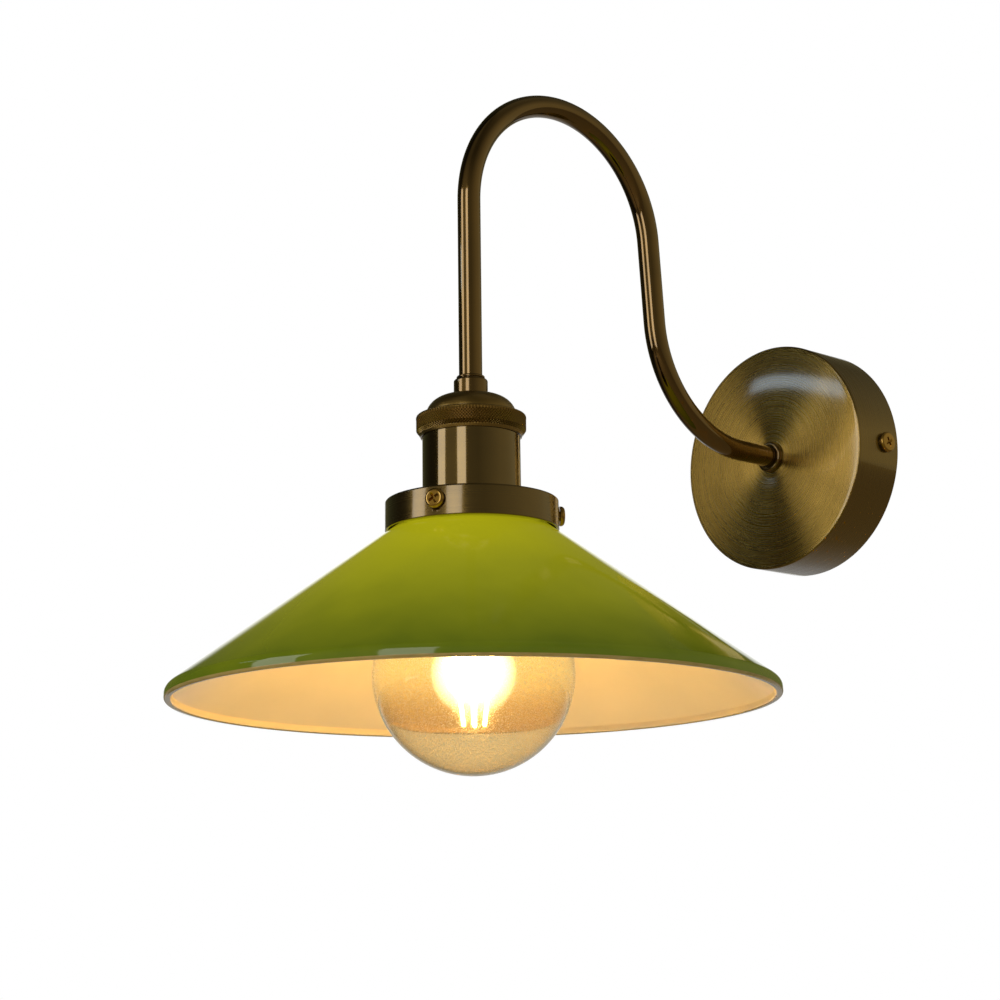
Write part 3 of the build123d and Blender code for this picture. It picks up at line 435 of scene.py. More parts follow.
def finish_table():
    """One material for each of the record's slots, by slot name."""
    colours = bpy.context.scene.sconce_colours
    tone = list(colours.brass)
    copper = list(colours.brass_arm)
    gold = list(colours.brass_screw)
    yellow = list(colours.brass_canopy)
    steel = (0.55, 0.56, 0.58)
    return {
        # Roughness, lacquer, roughness of the lacquer, brushing.
        "canopy_brass": brass("canopy_brass", yellow, 0.27, 0.9, 0.065, 1.0, "Y", relief=2e-7, side=0.0507),
        "arm_brass": brass("arm_brass", copper, 0.10, 0.8, 0.04, relief=5e-7),
        "fitting_brass": brass("fitting_brass", copper, 0.16, 0.8, 0.05),
        "cap_brass": brass("cap_brass", scaled(tone, 1.8), 0.34, 0.8, 0.16, 0.3, "Z"),
        "shell_brass": brass("shell_brass", tone, 0.12, 1.0, 0.02, 0.0, "Z"),
        "gallery_brass": brass("gallery_brass", tone, 0.24, 1.0, 0.10, 0.4, "Z", relief=2e-6),
        "screw_brass": brass("screw_brass", gold, 0.20, 0.6, 0.05),
        "zinc_steel": plain_metal("zinc_steel", steel, 0.35),
        "lock_ring_brass": brass("lock_ring_brass", tone, 0.3, 0.2, 0.1),
        "contact_brass": plain_metal("contact_brass", (0.62, 0.44, 0.18), 0.3),
        "core_porcelain": moulded("core_porcelain", (0.80, 0.78, 0.73), 0.55, 3e-5),
        "shade_glass": cased_green(),
        "bulb_glass": amber_glass(),
        "stem_glass": clear_glass("stem_glass", (0.9, 0.9, 0.88), 0.05),
        "bulb_cap_brass": plain_metal("bulb_cap_brass", (0.62, 0.48, 0.24), 0.3),
        "contact_solder": plain_metal("contact_solder", (0.55, 0.55, 0.54), 0.4),
        "insulator_glass": moulded("insulator_glass", (0.02, 0.02, 0.02), 0.12),
        "stick_phosphor": glowing("stick_phosphor", colours.bulb_glow, colours.stick_glow),
        "lead_wire": plain_metal("lead_wire", (0.5, 0.5, 0.5), 0.3),
        "driver_board": moulded("driver_board", (0.04, 0.16, 0.07), 0.4),
        "bushing_plastic": moulded("bushing_plastic", (0.03, 0.03, 0.03), 0.4),
        "pad_plastic": moulded("pad_plastic", (0.75, 0.73, 0.68), 0.5),
        "block_plastic": moulded("block_plastic", (0.78, 0.77, 0.73), 0.45),
        "live_insulation": moulded("live_insulation", (0.16, 0.06, 0.02), 0.4),
        "neutral_insulation": moulded("neutral_insulation", (0.03, 0.11, 0.45), 0.4),
        "earth_insulation": moulded("earth_insulation", (0.25, 0.42, 0.05), 0.4),
    }


finishes = {}


def finish_of(slot):
    """The material of a slot, made when it is first asked for."""
    if not finishes:
        finishes.update(finish_table())
    return finishes[slot]


# ---------------------------------------------------------------- sizes and colours


def number(name, text, default, **options):
    """A setting that holds one number."""
    return FloatProperty(name=name, description=text, default=default, **options)


def colour(name, text, default):
    """A setting that holds a colour."""
    return FloatVectorProperty(name=name, description=text, default=default, subtype="COLOR")


class SconceSizes(bpy.types.PropertyGroup):
    """Sizes of the finished pieces, in millimetres."""

    arch_radius: number("Arch radius", "Centre line radius of the arch, mm", 52.5)
    arch_height: number("Arch height", "Height of the arch's centre, mm", 81.0)
    leg_lean: number("Leg lean", "Lean of the arm's rear leg", radians(4.3), subtype="ANGLE")
    bend_radius: number("Bend radius", "Radius of the arm's lower bend, mm", 53.5)
    tube_wall: number("Tube wall", "Wall of the arm's tube, mm", 0.8)
    canopy_dish: number("Dish", "Depth of the dish under the flange, mm", 0.45)
    canopy_fall: number("Fall", "Drop of the canopy's face at its rim, mm", 0.8)
    knurl_pitch: number("Knurl pitch", "Width of one diamond, mm", 1.3)
    knurl_depth: number("Knurl depth", "Depth of the grooves, mm", 0.5)
    glass_thickness: number("Glass", "Thickness of the shade's glass, mm", 3.0)
    cone_slope: number("Slope", "Slope of the shade below level", radians(36.0), subtype="ANGLE")
    rim_bend: number("Rim bend", "Outer radius where the cone turns down, mm", 3.8)
    globe_wall: number("Globe wall", "Thickness of the bulb's glass, mm", 0.8)
    stick_count: IntProperty(name="Sticks", description="Number of glowing sticks", default=4, min=1)


class SconceColours(bpy.types.PropertyGroup):
    """Colours and strengths of the finishes."""

    brass: colour("Brass", "Antique brass", (0.158, 0.101, 0.025))
    brass_canopy: colour("Canopy brass", "Yellower brass of the canopy", (0.40, 0.26, 0.06))
    brass_arm: colour("Arm brass", "Redder brass of the arm", (0.18, 0.107, 0.028))
    brass_screw: colour("Screw brass", "Bright brass of the screws", (0.44, 0.265, 0.05))
    brass_shade: number("Patina", "Darkest tone as a share of the brass", 0.8)
    # Shade top and middle are the green lightened as painted glow of the bulb; the foot has the least
    # painted glow.
    shade_top_painted_glow: colour("Shade top", "Outer glass near the gallery", (0.47, 0.45, 0.007))
    shade_middle_painted_glow: colour("Shade middle", "Outer glass halfway down", (0.30, 0.305, 0.009))
    shade_foot: colour("Shade foot", "Outer glass near the rim", (0.080, 0.110, 0.005))
    shade_glow: number("Shade glow", "Light that comes through the shade", 0.35)
    shade_inside: colour("Shade inside", "Opal layer", (0.88, 0.70, 0.385))
    shade_edge: colour("Shade edge", "Edge of the glass", (0.42, 0.30, 0.09))
    # Bulb top is the amber lightened as painted glow of the sticks; the bloom is painted by emission.
    bulb_top_painted_glow: colour("Bulb top", "Amber glass beside the sticks", (1.0, 0.985, 0.76))
    bulb_foot: colour("Bulb foot", "Amber glass below the sticks", (0.81, 0.67, 0.42))
    bulb_glow: colour("Bulb glow", "Light of the sticks", (1.0, 0.70, 0.30))
    stick_glow: number("Stick strength", "Strength of the glowing sticks", 40.0)
    bulb_bloom: number("Bloom", "Brightness of the bloom in the bulb's glass", 1.1)
    bulb_power: number("Bulb power", "Light inside the bulb", 0.43, subtype="POWER")


# ---------------------------------------------------------------- pieces


class SCONCE_OT_canopy(bpy.types.Operator):
    """Spun canopy with a faintly dished face and a rounded edge"""

    bl_idname = "sconce.canopy"
    bl_label = "Canopy"

    def execute(self, context):
        sizes = context.scene.sconce_sizes
        _, low, high = place_of("canopy")
        rim, depth, wall = high.x, -low.y, 1.0
        hole = place_of("arm_tube")[2].x + CLEARANCE
        fall = sizes.canopy_fall
        dish_start, dish_end, fall_start = 9.0, 17.0, 36.0
        mesh = turned(
            [
                (hole, depth - wall, 0),
                (hole, depth - sizes.canopy_dish, 0),
                (dish_start, depth - sizes.canopy_dish, 30),
                (dish_end, depth, 120),
                (fall_start, depth, 480),
                (rim, depth - fall, 0.8),
                (rim, 0.0, 0.15),
                (rim - wall, 0.0, 0.15),
                (rim - wall, depth - wall - fall, 0.9),
                (fall_start, depth - wall, 400),
            ],
            steps=160,
            arc_steps=12,
        )
        canopy = piece("canopy_cup", mesh, WALL, "fixture", "canopy_brass", ["canopy"])
        screw = place_of("canopy_screw_right")[0]
        drilled(canopy, [rod_cutter(facing((0, screw.y, 0), (1, 0, 0)), 2.3, 2.4 * rim)])
        return {"FINISHED"}


class SCONCE_OT_arm(bpy.types.Operator):
    """Bent tube, its flange on the canopy and its collar on the lamp holder"""

    bl_idname = "sconce.arm"
    bl_label = "Arm"

    def execute(self, context):
        sizes = context.scene.sconce_sizes
        _, low, high = place_of("arm_tube")
        radius, start, foot = high.x, high.y, low.z
        lean, arch, bend = sizes.leg_lean, sizes.arch_radius, sizes.bend_radius
        arch_end = Vector((0, LAMP_Y + arch * (1 + cos(lean)), sizes.arch_height + arch * sin(lean)))
        run_length = (arch_end.z - bend * (1 - sin(lean))) / cos(lean)
        bend_y = arch_end.y + run_length * sin(lean) + bend * cos(lean)
        mesh = bmesh.new()
        across = Matrix.Translation((0, start, 0)) @ Matrix.Rotation(pi / 2, 4, "X")
        for ring in (radius, radius - sizes.tube_wall):
            bmesh.ops.create_circle(mesh, cap_ends=False, segments=48, radius=ring, matrix=across)
        section = bmesh.ops.bridge_loops(mesh, edges=mesh.edges[:])["faces"]

        def pushed(faces, offset):
            grown = bmesh.ops.extrude_face_region(mesh, geom=faces)["geom"]
            moved = [item for item in grown if isinstance(item, bmesh.types.BMVert)]
            bmesh.ops.translate(mesh, vec=offset, verts=moved)
            return [item for item in grown if isinstance(item, bmesh.types.BMFace)]

        def bent(faces, centre, angle, steps):
            grown = bmesh.ops.spin(
                mesh, geom=faces, cent=centre, axis=(1, 0, 0), angle=angle, steps=steps, use_duplicate=False
            )["geom_last"]
            return [item for item in grown if isinstance(item, bmesh.types.BMFace)]

        section = pushed(section, (0, bend_y - start, 0))
        section = bent(section, (0, bend_y, bend), lean - pi / 2, 40)
        section = pushed(section, (0, -run_length * sin(lean), run_length * cos(lean)))
        section = bent(section, (0, LAMP_Y + arch, sizes.arch_height), pi - lean, 80)
        pushed(section, (0, 0, foot - sizes.arch_height))
        piece("arm_bent_tube", mesh, MILLIMETRES, "fixture", "arm_brass", ["arm_tube"])

        _, low, high = place_of("arm_flange")
        ring = turned(
            [
                (radius + CLEARANCE, -high.y, 0.1),
                (high.x, -high.y, 0.5),
                (high.x, -low.y, 1.0),
                (radius + CLEARANCE, -low.y, 0.3),
            ],
            steps=72,
        )
        piece("arm_flange_ring", ring, WALL, "fixture", "fitting_brass", ["arm_flange"])

        _, low, high = place_of("arm_collar")
        shoulder, bead, bead_top = high.z - 0.9, 5.75, high.z + 0.5
        collar = turned(
            [
                (radius + CLEARANCE, low.z, 0),
                (high.x, low.z, 0.2),
                (high.x, shoulder, 1.1),
                (bead - 0.5, shoulder, 0),
                (bead - 0.5, shoulder + 0.35, 0),
                (bead, shoulder + 0.35, 0.35),
                (bead, bead_top, 0.6),
                (radius + CLEARANCE, bead_top, 0.1),
            ],
            steps=72,
        )
        piece("arm_collar_nut", collar, LAMP, "fixture", "fitting_brass", ["arm_collar"])
        return {"FINISHED"}


class SCONCE_OT_holder(bpy.types.Operator):
    """Domed cap with its diamond knurl, and the plain shell below it"""

    bl_idname = "sconce.holder"
    bl_label = "Lamp holder"

    def execute(self, context):
        sizes = context.scene.sconce_sizes
        _, low, high = place_of("socket_cap")
        ring, foot, top = high.x, low.z, high.z
        dome_foot, dome_radius, crown = top - 8.4, 18.3, 8.4
        roof = top - 1.4
        hole = place_of("arm_tube")[2].x + CLEARANCE
        pitch = sizes.knurl_pitch / 2
        around = 2 * round(pi * ring / pitch)
        shoulder, lip = 0.7, 2.4
        knurl_top = dome_foot - shoulder
        # The diamonds run down the straight side and on over the lip.
        straight = int((knurl_top - foot - lip) / pitch)
        rows = [(ring, knurl_top - row * pitch) for row in range(1, straight + 1)]
        rows += [(ring - 0.38 * row, rows[-1][1] - 0.5 * row) for row in range(1, 5)]
        mesh = bmesh.new()
        # The dome is a quarter circle that is then flattened to the dome's height.
        here = mesh.verts.new((crown, 0, dome_foot + dome_radius - crown))
        here = swing(mesh, here, crown, dome_foot, pi / 2, 20)
        share = (top - dome_foot) / (dome_radius - crown)
        above_foot = Matrix.Translation((0, 0, -dome_foot))
        bmesh.ops.scale(mesh, vec=(1, 1, share), verts=mesh.verts, space=above_foot)
        here = run(mesh, here, ring - shoulder, dome_foot)
        here = swing(mesh, here, ring - shoulder, dome_foot - shoulder, pi / 2, 5)
        for across, up in rows:
            here = run(mesh, here, across, up)
        # The inside: a socket for the shell, then a narrower bore up to the roof of the dome.
        socket, socket_top, bore = 19.85, foot + 6, 16.9
        for across, up in (
            (ring - 1.8, foot),
            (socket, foot),
            (socket, socket_top),
            (bore, socket_top),
            (bore, dome_foot),
            (7.4, roof),
            (hole, roof),
            (hole, top),
        ):
            here = run(mesh, here, across, up)
        mesh.verts.ensure_lookup_table()
        start = min(mesh.verts, key=lambda vert: (vert.co - Vector((crown, 0, top))).length)
        mesh.edges.new((here, start))
        revolve(mesh, around)
        low_points = []
        for vert in mesh.verts:
            turn = round(atan2(vert.co.y, vert.co.x) / (2 * pi) * around)
            for level, (across, up) in enumerate(rows[:-1]):
                off_row = max(abs(vert.co.z - up), abs(vert.co.xy.length - across))
                if (turn + level) % 2 and off_row < 0.01:
                    low_points.append(vert)
        for vert in low_points:
            vert.co.xy *= (ring - sizes.knurl_depth) / ring
        bmesh.ops.connect_verts(mesh, verts=low_points)
        piece("holder_cap", mesh, LAMP, "fixture", "cap_brass", ["socket_cap"], 24)

        _, low, high = place_of("socket_shell")
        wall, floor = 1.0, 1.2
        shell = turned(
            [
                (high.x - wall, high.z, 0.2),
                (high.x, high.z, 0.2),
                (high.x, low.z, 0.25),
                (SHELL_MOUTH, low.z, 0.2),
                (SHELL_MOUTH, low.z + floor, 0.1),
                (high.x - wall, low.z + floor, 0.2),
            ],
            steps=128,
        )
        piece("holder_shell", shell, LAMP, "fixture", "shell_brass", ["socket_shell"])
        return {"FINISHED"}


class SCONCE_OT_gallery(bpy.types.Operator):
    """Shallow cup that holds the glass, with its three screw holes"""

    bl_idname = "sconce.gallery"
    bl_label = "Shade gallery"

    def execute(self, context):
        _, low, high = place_of("shade_gallery")
        wall = 1.2
        mesh = turned(
            [
                (SHELL_MOUTH, high.z, 0.2),
                (high.x, high.z, 0.9),
                (high.x, low.z, 0.35),
                (high.x - wall, low.z, 0.35),
                (high.x - wall, high.z - wall, 0.6),
                (SHELL_MOUTH, high.z - wall, 0.2),
            ],
            steps=160,
        )
        gallery = piece("gallery_cup", mesh, LAMP, "fixture", "gallery_brass", ["shade_gallery"])
        level = place_of("shade_screw_1")[0].z
        cutters = []
        for turn in SCREW_TURNS:
            outward = Vector((cos(radians(turn)), sin(radians(turn)), 0))
            centre = Vector((0, LAMP_Y, level)) + outward * high.x
            cutters.append(rod_cutter(facing(centre, outward), 2.05, 8))
        drilled(gallery, cutters)
        return {"FINISHED"}


def pan_head(body, place, head, height, shank, length):
    """Pan-head screw with a tapered cross recess, named for its body. Its placement lies under the head."""
    recess_turn = 0.5
    mesh = turned(
        [
            (0, -length, 0),
            (shank, -length, 0.3),
            (shank, 0, 0),
            (head, 0, 0.2),
            (head, height, height * 0.66),
            (0, height, 0),
        ],
        steps=48,
    )
    screw = piece(f"{body}_head", mesh, place, body, "screw_brass", [body])
    cutters = []
    for turn in (0, pi / 2):
        slot = bmesh.new()
        bmesh.ops.create_cone(slot, cap_ends=True, segments=4, radius1=1.0, radius2=2.2, depth=2.0)
        bmesh.ops.rotate(slot, cent=(0, 0, 0), matrix=Matrix.Rotation(pi / 4, 3, "Z"), verts=slot.verts)
        bmesh.ops.scale(slot, vec=(1.75, 0.45, 1), verts=slot.verts)
        aim = Matrix.Rotation(turn + recess_turn, 3, "Z")
        bmesh.ops.rotate(slot, cent=(0, 0, 0), matrix=aim, verts=slot.verts)
        bmesh.ops.translate(slot, vec=(0, 0, height - 0.3), verts=slot.verts)
        bmesh.ops.transform(slot, matrix=place, verts=slot.verts)
        cutters.append(slot)
    drilled(screw, cutters)
    return screw


class SCONCE_OT_screws(bpy.types.Operator):
    """Shade screws, and the canopy's side screws with their washers"""

    bl_idname = "sconce.screws"
    bl_label = "Screws"

    def execute(self, context):
        under_head = 35.0
        for k, turn in enumerate(SCREW_TURNS, 1):
            node = f"shade_screw_{k}"
            outward = Vector((cos(radians(turn)), sin(radians(turn)), 0))
            centre = Vector((0, LAMP_Y, place_of(node)[0].z)) + outward * under_head
            pan_head(node, facing(centre, outward), head=4.0, height=2.1, shank=2.0, length=5.0)
        hole, rim, thick, head_gap = 2.05, 3.5, 0.6, 0.65
        for side, outward_x in (("left", -1), ("right", 1)):
            node = f"canopy_washer_{side}"
            centre, low, high = place_of(node)
            outward = (outward_x, 0, 0)
            seat = Vector((high.x if outward_x < 0 else low.x, centre.y, 0))
            outline = [(hole, 0, 0.05), (rim, 0, 0.1), (rim, thick, 0.2), (hole, thick, 0.1)]
            washer = turned(outline, steps=64)
            piece(f"{node}_ring", washer, facing(seat, outward), node, "screw_brass", [node])
            seat.x += outward_x * head_gap
            place = facing(seat, outward)
            pan_head(f"canopy_screw_{side}", place, head=4.6, height=1.6, shank=2.0, length=7.4)
        return {"FINISHED"}


class SCONCE_OT_shade(bpy.types.Operator):
    """Cone shade of cased glass: green outside, opal inside, with a clear polished edge"""

    bl_idname = "sconce.shade"
    bl_label = "Shade"

    def execute(self, context):
        sizes = context.scene.sconce_sizes
        _, low, high = place_of("glass_shade")
        rim, foot, top = high.x, low.z, high.z
        neck, neck_foot, slope = 28.5, top - 7.3, tan(sizes.cone_slope)
        bead, shoulder = neck + 1.5, 4.0
        glass, bend, edge = sizes.glass_thickness, sizes.rim_bend, 1.1
        drop = glass / cos(sizes.cone_slope)
        rim_corner = neck_foot - (rim - neck) * slope
        inner_rim_corner = neck_foot - drop - (rim - glass - neck) * slope
        inner_neck_corner = neck_foot - drop + glass * slope
        mesh = bmesh.new()
        here = draw(
            mesh,
            [
                (neck - glass, top, 0),
                (bead, top, 0.6),
                (bead, top - 1.5, 0.6),
                (neck, top - 1.5, 0.3),
                (neck, neck_foot, shoulder),
                (rim, rim_corner, bend),
                (rim, foot + edge, 0),
            ],
            closed=False,
            steps=14,
        )
        here = swing(mesh, here, rim - edge, foot + edge, pi / 2, 6)
        here = run(mesh, here, rim - glass + edge, foot)
        here = swing(mesh, here, rim - glass + edge, foot + edge, pi / 2, 6)
        draw(
            mesh,
            [
                (rim - glass, foot + edge, 0),
                (rim - glass, inner_rim_corner, bend - glass),
                (neck - glass, inner_neck_corner, shoulder + glass),
                (neck - glass, top, 0),
            ],
            closed=False,
            steps=14,
        )
        cone = [each for each in mesh.edges if each.calc_length() > 20]
        bmesh.ops.subdivide_edges(mesh, edges=cone, cuts=12, use_grid_fill=False)
        bmesh.ops.remove_doubles(mesh, verts=mesh.verts, dist=0.0005)
        revolve(mesh, 220)
        # Faces on the inner wall take the opal layer, those round the foot the clear edge.
        for face in mesh.faces:
            centre = face.calc_center_median()
            across, up = centre.xy.length, centre.z
            outer_line = neck_foot - (across - neck) * slope
            if up < foot + edge and across > rim - glass + 0.3:
                face.material_index = 2
            elif across < neck - glass + 0.2 or (across < rim - glass + 0.3 and up < outer_line - drop / 2):
                face.material_index = 1
        layers = cased_cream(), glass_edge()
        piece("shade_cone", mesh, LAMP, "fixture", "shade_glass", ["glass_shade"], 50, layers)
        return {"FINISHED"}


class SCONCE_OT_bulb(bpy.types.Operator):
    """Globe of clear amber glass and its glowing sticks"""

    bl_idname = "sconce.bulb"
    bl_label = "Bulb"

    def execute(self, context):
        sizes = context.scene.sconce_sizes
        _, low, high = place_of("bulb_globe")
        radius, foot, top = high.x, low.z, high.z
        wall, neck, neck_foot = sizes.globe_wall, 13.2, top - 5.0
        centre = foot + radius
        drop = neck_foot - centre
        bend = (neck**2 + drop**2 - radius**2) / (2 * (radius - neck))
        join = atan2(drop, neck + bend)
        mesh = bmesh.new()
        first = mesh.verts.new((neck - wall, 0, top))
        here = run(mesh, first, neck, top)
        here = run(mesh, here, neck, neck_foot)
        here = swing(mesh, here, neck + bend, neck_foot, -join, 16)
        here = swing(mesh, here, 0, centre, pi / 2 + join, 56)
        here = run(mesh, here, 0, foot + wall)
        here = swing(mesh, here, 0, centre, -pi / 2 - join, 56)
        here = swing(mesh, here, neck + bend, neck_foot, join, 16)
        mesh.edges.new((here, first))
        revolve(mesh, 128)
        globe = piece("bulb_glass_globe", mesh, LAMP, "bulb", "bulb_glass", ["bulb_globe"])
        globe.visible_shadow = False

        _, low, high = place_of("bulb_sticks")
        mesh = bmesh.new()
        count, thin = sizes.stick_count, 0.9
        top_spread, foot_spread = 8.5, 4.0
        for k in range(count):
            turn = 2 * pi * (k + 0.5) / count
            outward = Vector((cos(turn), sin(turn), 0))
            top_point = Vector((0, LAMP_Y, high.z)) + outward * top_spread
            foot_point = Vector((0, LAMP_Y, low.z)) + outward * foot_spread
            length = (top_point - foot_point).length
            stick = turned([(0, 0, 0), (thin, 0, 0.7), (thin, length, 0.7), (0, length, 0)], steps=20)
            along = (top_point - foot_point).to_track_quat("Z", "Y").to_matrix().to_4x4()
            bmesh.ops.transform(stick, matrix=Matrix.Translation(foot_point) @ along, verts=stick.verts)
            part = bpy.data.meshes.new("stick")
            stick.to_mesh(part)
            stick.free()
            mesh.from_mesh(part)
            bpy.data.meshes.remove(part)
        piece("bulb_glow_sticks", mesh, MILLIMETRES, "bulb", "stick_phosphor", ["bulb_sticks"])
        return {"FINISHED"}


class SCONCE_OT_kept(bpy.types.Operator):
    """Finishes of the pieces whose solids are kept: bracket, nuts, contacts, porcelain and wires"""

    bl_idname = "sconce.kept"
    bl_label = "Kept pieces"

    def execute(self, context):
        slots = {entry["node"]: entry["material_slot"] for entry in frame["record"]["subparts"]}
        for node, thing in frame["nodes"].items():
            for holder in thing.material_slots:
                holder.material = finish_of(slots[node])
            if slots[node] == "stem_glass":
                thing.visible_shadow = False
        return {"FINISHED"}


class SCONCE_OT_stage(bpy.types.Operator):
    """Pale floor, white surround, two tall soft lights, the bulb's light and the camera"""

    bl_idname = "sconce.stage"
    bl_label = "Stage"

    def execute(self, context):
        scene = context.scene
        scene.view_settings.view_transform = "Standard"
        self.floor(scene)
        self.surround(scene)
        # Two tall soft boxes stand in front of the wall, and a small bluish window beside the left one.
        tall, white = (0.56, 1.1), (1.0, 0.98, 0.95)
        self.soft_box(scene, "tall_light_left", -25.1, 10, 1.6, tall, 2.4, white)
        self.soft_box(scene, "tall_light_right", 25.5, 10, 1.6, tall, 2.4, white)
        self.soft_box(scene, "window_light", -41.9, 20.3, 1.8, (0.32, 0.05), 4.0, (0.72, 0.87, 1.0))
        self.bulb_light(scene)
        self.camera(scene)
        return {"FINISHED"}

    def floor(self, scene):
        """Wide pale floor that keeps the lamp's shadow."""
        level, half_width, lift = -0.45, 6.0, 0.55
        mesh = bmesh.new()
        place = Matrix.Translation((0, 0, level))
        bmesh.ops.create_grid(mesh, x_segments=1, y_segments=1, size=half_width, matrix=place)
        data = bpy.data.meshes.new("floor")
        mesh.to_mesh(data)
        mesh.free()
        floor = bpy.data.objects.new("floor", data)
        scene.collection.objects.link(floor)
        pale = Finish("floor_pale")
        ray = pale.node("ShaderNodeLightPath").outputs
        speck = pale.between(pale.noise(3, 2), 0.3, 0.7)
        own = pale.mix(speck, (0.84, 0.84, 0.84), (0.86, 0.86, 0.86))
        # Metal sees a dim floor, dimmest on the left, and a pale one behind the lamp.
        split = pale.node("ShaderNodeSeparateXYZ", {"Vector": pale.place}).outputs
        dim = pale.mix(pale.between(split["X"], -0.9, -0.3), (0.03, 0.028, 0.012), (0.36, 0.265, 0.105))
        in_front, at_right = pale.between(split["Y"], 0.6, 0.2), pale.between(split["X"], -0.6, 0.0)
        seen_dim = pale.math("MULTIPLY", ray["Is Glossy Ray"], pale.math("MAXIMUM", in_front, at_right))
        pale.set(Base_Color=pale.mix(seen_dim, own, dim), Roughness=0.9, Emission_Color=(1, 1, 1, 1))
        pale.set(Emission_Strength=pale.math("MULTIPLY", ray["Is Camera Ray"], lift))
        data.materials.append(pale.material)

    def bulb_light(self, scene):
        """Warm light of the sticks, which lights the shade and is not itself seen."""
        light = bpy.data.lights.new("bulb_light", "POINT")
        light.energy = scene.sconce_colours.bulb_power
        light.color = (1.0, 0.62, 0.17)
        light.shadow_soft_size = 0.012
        lamp = bpy.data.objects.new("bulb_light", light)
        lamp.location = (0, -0.208, -0.115)
        lamp.visible_camera = lamp.visible_transmission = lamp.visible_glossy = False
        scene.collection.objects.link(lamp)

    def soft_box(self, scene, name, azimuth, elevation, distance, size, radiance, colour):
        """Rectangular light that faces the lamp, set by the brightness of its face."""
        target = Vector((0, -0.208, -0.03))
        light = bpy.data.lights.new(name, "AREA")
        light.shape = "RECTANGLE"
        light.size, light.size_y = size
        light.energy = radiance * pi * size[0] * size[1]
        light.color = colour
        lamp = bpy.data.objects.new(name, light)
        turn, rise = radians(azimuth), radians(elevation)
        away = Vector((sin(turn) * cos(rise), -cos(turn) * cos(rise), sin(rise)))
        aim = away.to_track_quat("Z", "Y").to_matrix().to_4x4()
        lamp.matrix_world = Matrix.Translation(target + away * distance) @ aim
        lamp.visible_camera = False
        scene.collection.objects.link(lamp)

    def surround(self, scene):
        """White to the eye and through glass; metal sees it behind the lamp and a dim room elsewhere."""
        world = bpy.data.worlds.new("surround")
        scene.world = world
        world.use_nodes = True
        tree = world.node_tree
        tree.nodes.clear()

        def feed(socket, value):
            if isinstance(value, bpy.types.NodeSocket):
                tree.links.new(value, socket)
            else:
                socket.default_value = value

        def node(kind, *inputs, **settings):
            made = tree.nodes.new(kind)
            for key, value in settings.items():
                setattr(made, key, value)
            for socket, value in zip(made.inputs, inputs):
                feed(socket, value)
            return made

        def background(colour, strength):
            return node("ShaderNodeBackground", colour, strength).outputs[0]

        def blend(amount, first, second):
            return node("ShaderNodeMixShader", amount, first, second).outputs[0]

        white = (1, 1, 1, 1)
        ambient = 0.42
        ray = node("ShaderNodeLightPath").outputs
        direction = node("ShaderNodeTexCoord").outputs["Generated"]
        # Metal sees white in a round patch of sky behind the lamp, from 17 degrees off its middle inwards.
        behind_lamp = (-0.7225, 0.6575, 0.2139)
        toward = node("ShaderNodeVectorMath", direction, behind_lamp, operation="DOT_PRODUCT")
        patch = node(
            "ShaderNodeMapRange", toward.outputs["Value"], 0.955, 0.99, interpolation_type="SMOOTHSTEP"
        ).outputs["Result"]
        # The dim room, going round from the left past the front to the right and the back.
        round_about = node("ShaderNodeTexGradient", direction, gradient_type="RADIAL").outputs["Fac"]
        walls = node("ShaderNodeValToRGB", round_about)
        stops = walls.color_ramp.elements
        stops[0].color = stops[1].color = (0.05, 0.05, 0.02, 1)
        for place, light in (
            (0.08, 0.03),
            (0.145, 0.04),
            (0.17, 0.16),
            (0.21, 0.34),
            (0.29, 0.34),
            (0.35, 0.20),
            (0.43, 0.18),
            (0.58, 0.36),
            (0.70, 0.40),
            (0.8, 0.15),
        ):
            stops.new(place).color = (light, light * 0.84, light * 0.42, 1)
        # The room is dimmer overhead.
        height = node("ShaderNodeSeparateXYZ", direction).outputs["Z"]
        overhead = node("ShaderNodeMapRange", height, 0.30, 0.75, 1.0, 0.38).outputs["Result"]
        room = background(walls.outputs["Color"], overhead)
        seen_by_metal = blend(patch, room, background(white, 1.0))
        lit = blend(ray["Is Glossy Ray"], background(white, ambient), seen_by_metal)
        clear = node(
            "ShaderNodeMath", ray["Is Camera Ray"], ray["Is Transmission Ray"], operation="MAXIMUM"
        ).outputs[0]
        final = blend(clear, lit, background(white, 1.0))
        tree.links.new(final, node("ShaderNodeOutputWorld").inputs["Surface"])

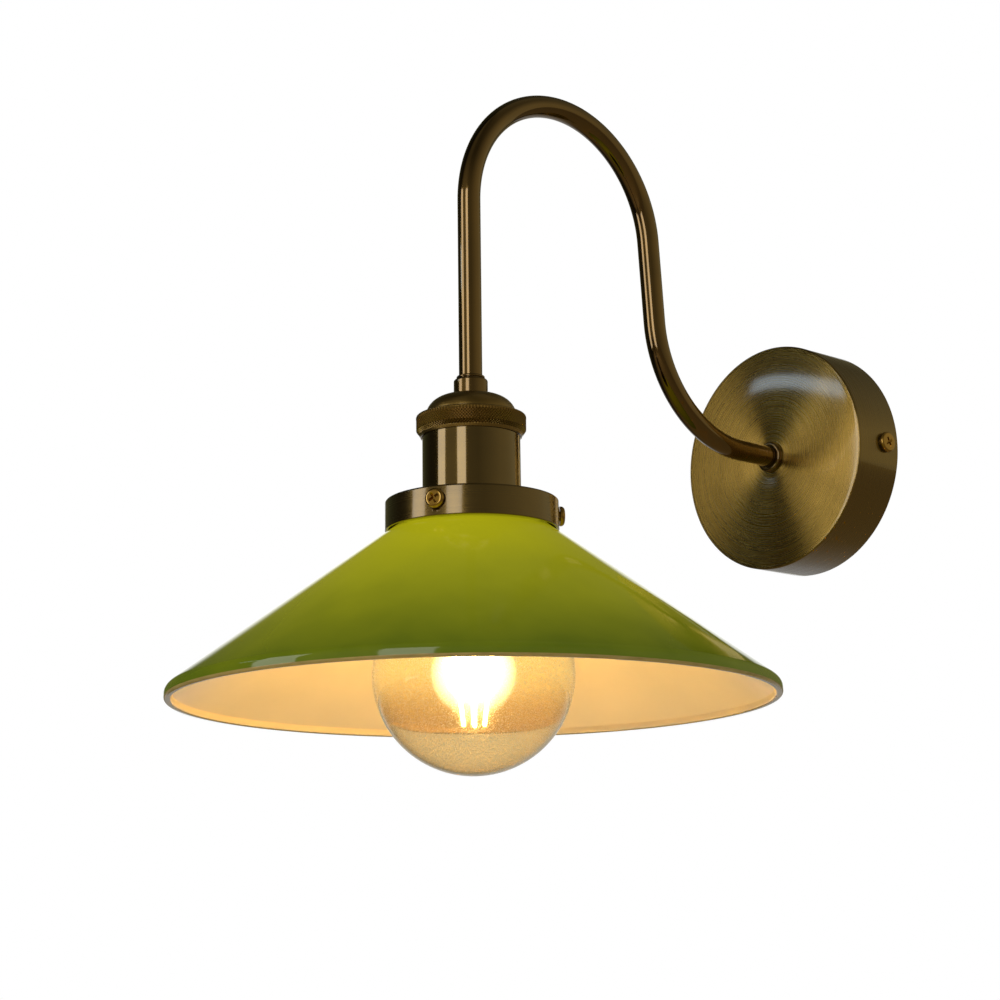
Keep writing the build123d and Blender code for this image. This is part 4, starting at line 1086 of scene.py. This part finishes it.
    def camera(self, scene):
        """Camera at the photograph's place."""
        lens = bpy.data.cameras.new("camera")
        lens.sensor_width = 36.0
        lens.lens = 86.4
        lens.clip_start, lens.clip_end = 0.01, 50.0
        azimuth, elevation, roll = radians(47.70), radians(-12.35), radians(-0.72)
        target, distance = Vector((0, -0.19287, -0.04269)), 0.96705
        back = Vector((sin(azimuth) * cos(elevation), -cos(azimuth) * cos(elevation), sin(elevation)))
        right = (-back).cross(Vector((0, 0, 1))).normalized()
        up = right.cross(-back)
        rolled_right = right * cos(roll) + up * sin(roll)
        rolled_up = up * cos(roll) - right * sin(roll)
        turn = Matrix((rolled_right, rolled_up, back)).transposed().to_4x4()
        eye = bpy.data.objects.new("camera", lens)
        eye.matrix_world = Matrix.Translation(target + back * distance) @ turn
        scene.collection.objects.link(eye)
        scene.camera = eye


class SCONCE_PT_panel(bpy.types.Panel):
    """Settings and pieces of the sconce"""

    bl_idname = "SCONCE_PT_panel"
    bl_label = "Gooseneck Sconce"
    bl_space_type = "VIEW_3D"
    bl_region_type = "UI"
    bl_category = "Sconce"

    def draw(self, context):
        for group in (context.scene.sconce_sizes, context.scene.sconce_colours):
            box = self.layout.box()
            for key in type(group).__annotations__:
                box.prop(group, key)
        for operator in PIECES:
            self.layout.operator(operator.bl_idname)


PIECES = (
    SCONCE_OT_kept,
    SCONCE_OT_canopy,
    SCONCE_OT_arm,
    SCONCE_OT_holder,
    SCONCE_OT_gallery,
    SCONCE_OT_screws,
    SCONCE_OT_shade,
    SCONCE_OT_bulb,
    SCONCE_OT_stage,
)
CLASSES = (SconceSizes, SconceColours, *PIECES, SCONCE_PT_panel)


def register():
    for each in CLASSES:
        bpy.utils.register_class(each)
    bpy.types.Scene.sconce_sizes = PointerProperty(type=SconceSizes)
    bpy.types.Scene.sconce_colours = PointerProperty(type=SconceColours)


def unregister():
    del bpy.types.Scene.sconce_colours
    del bpy.types.Scene.sconce_sizes
    for each in reversed(CLASSES):
        bpy.utils.unregister_class(each)


def main():
    register()
    for operator in PIECES:
        group, name = operator.bl_idname.split(".")
        getattr(getattr(bpy.ops, group), name)()


if __name__ == "__main__":
    main()
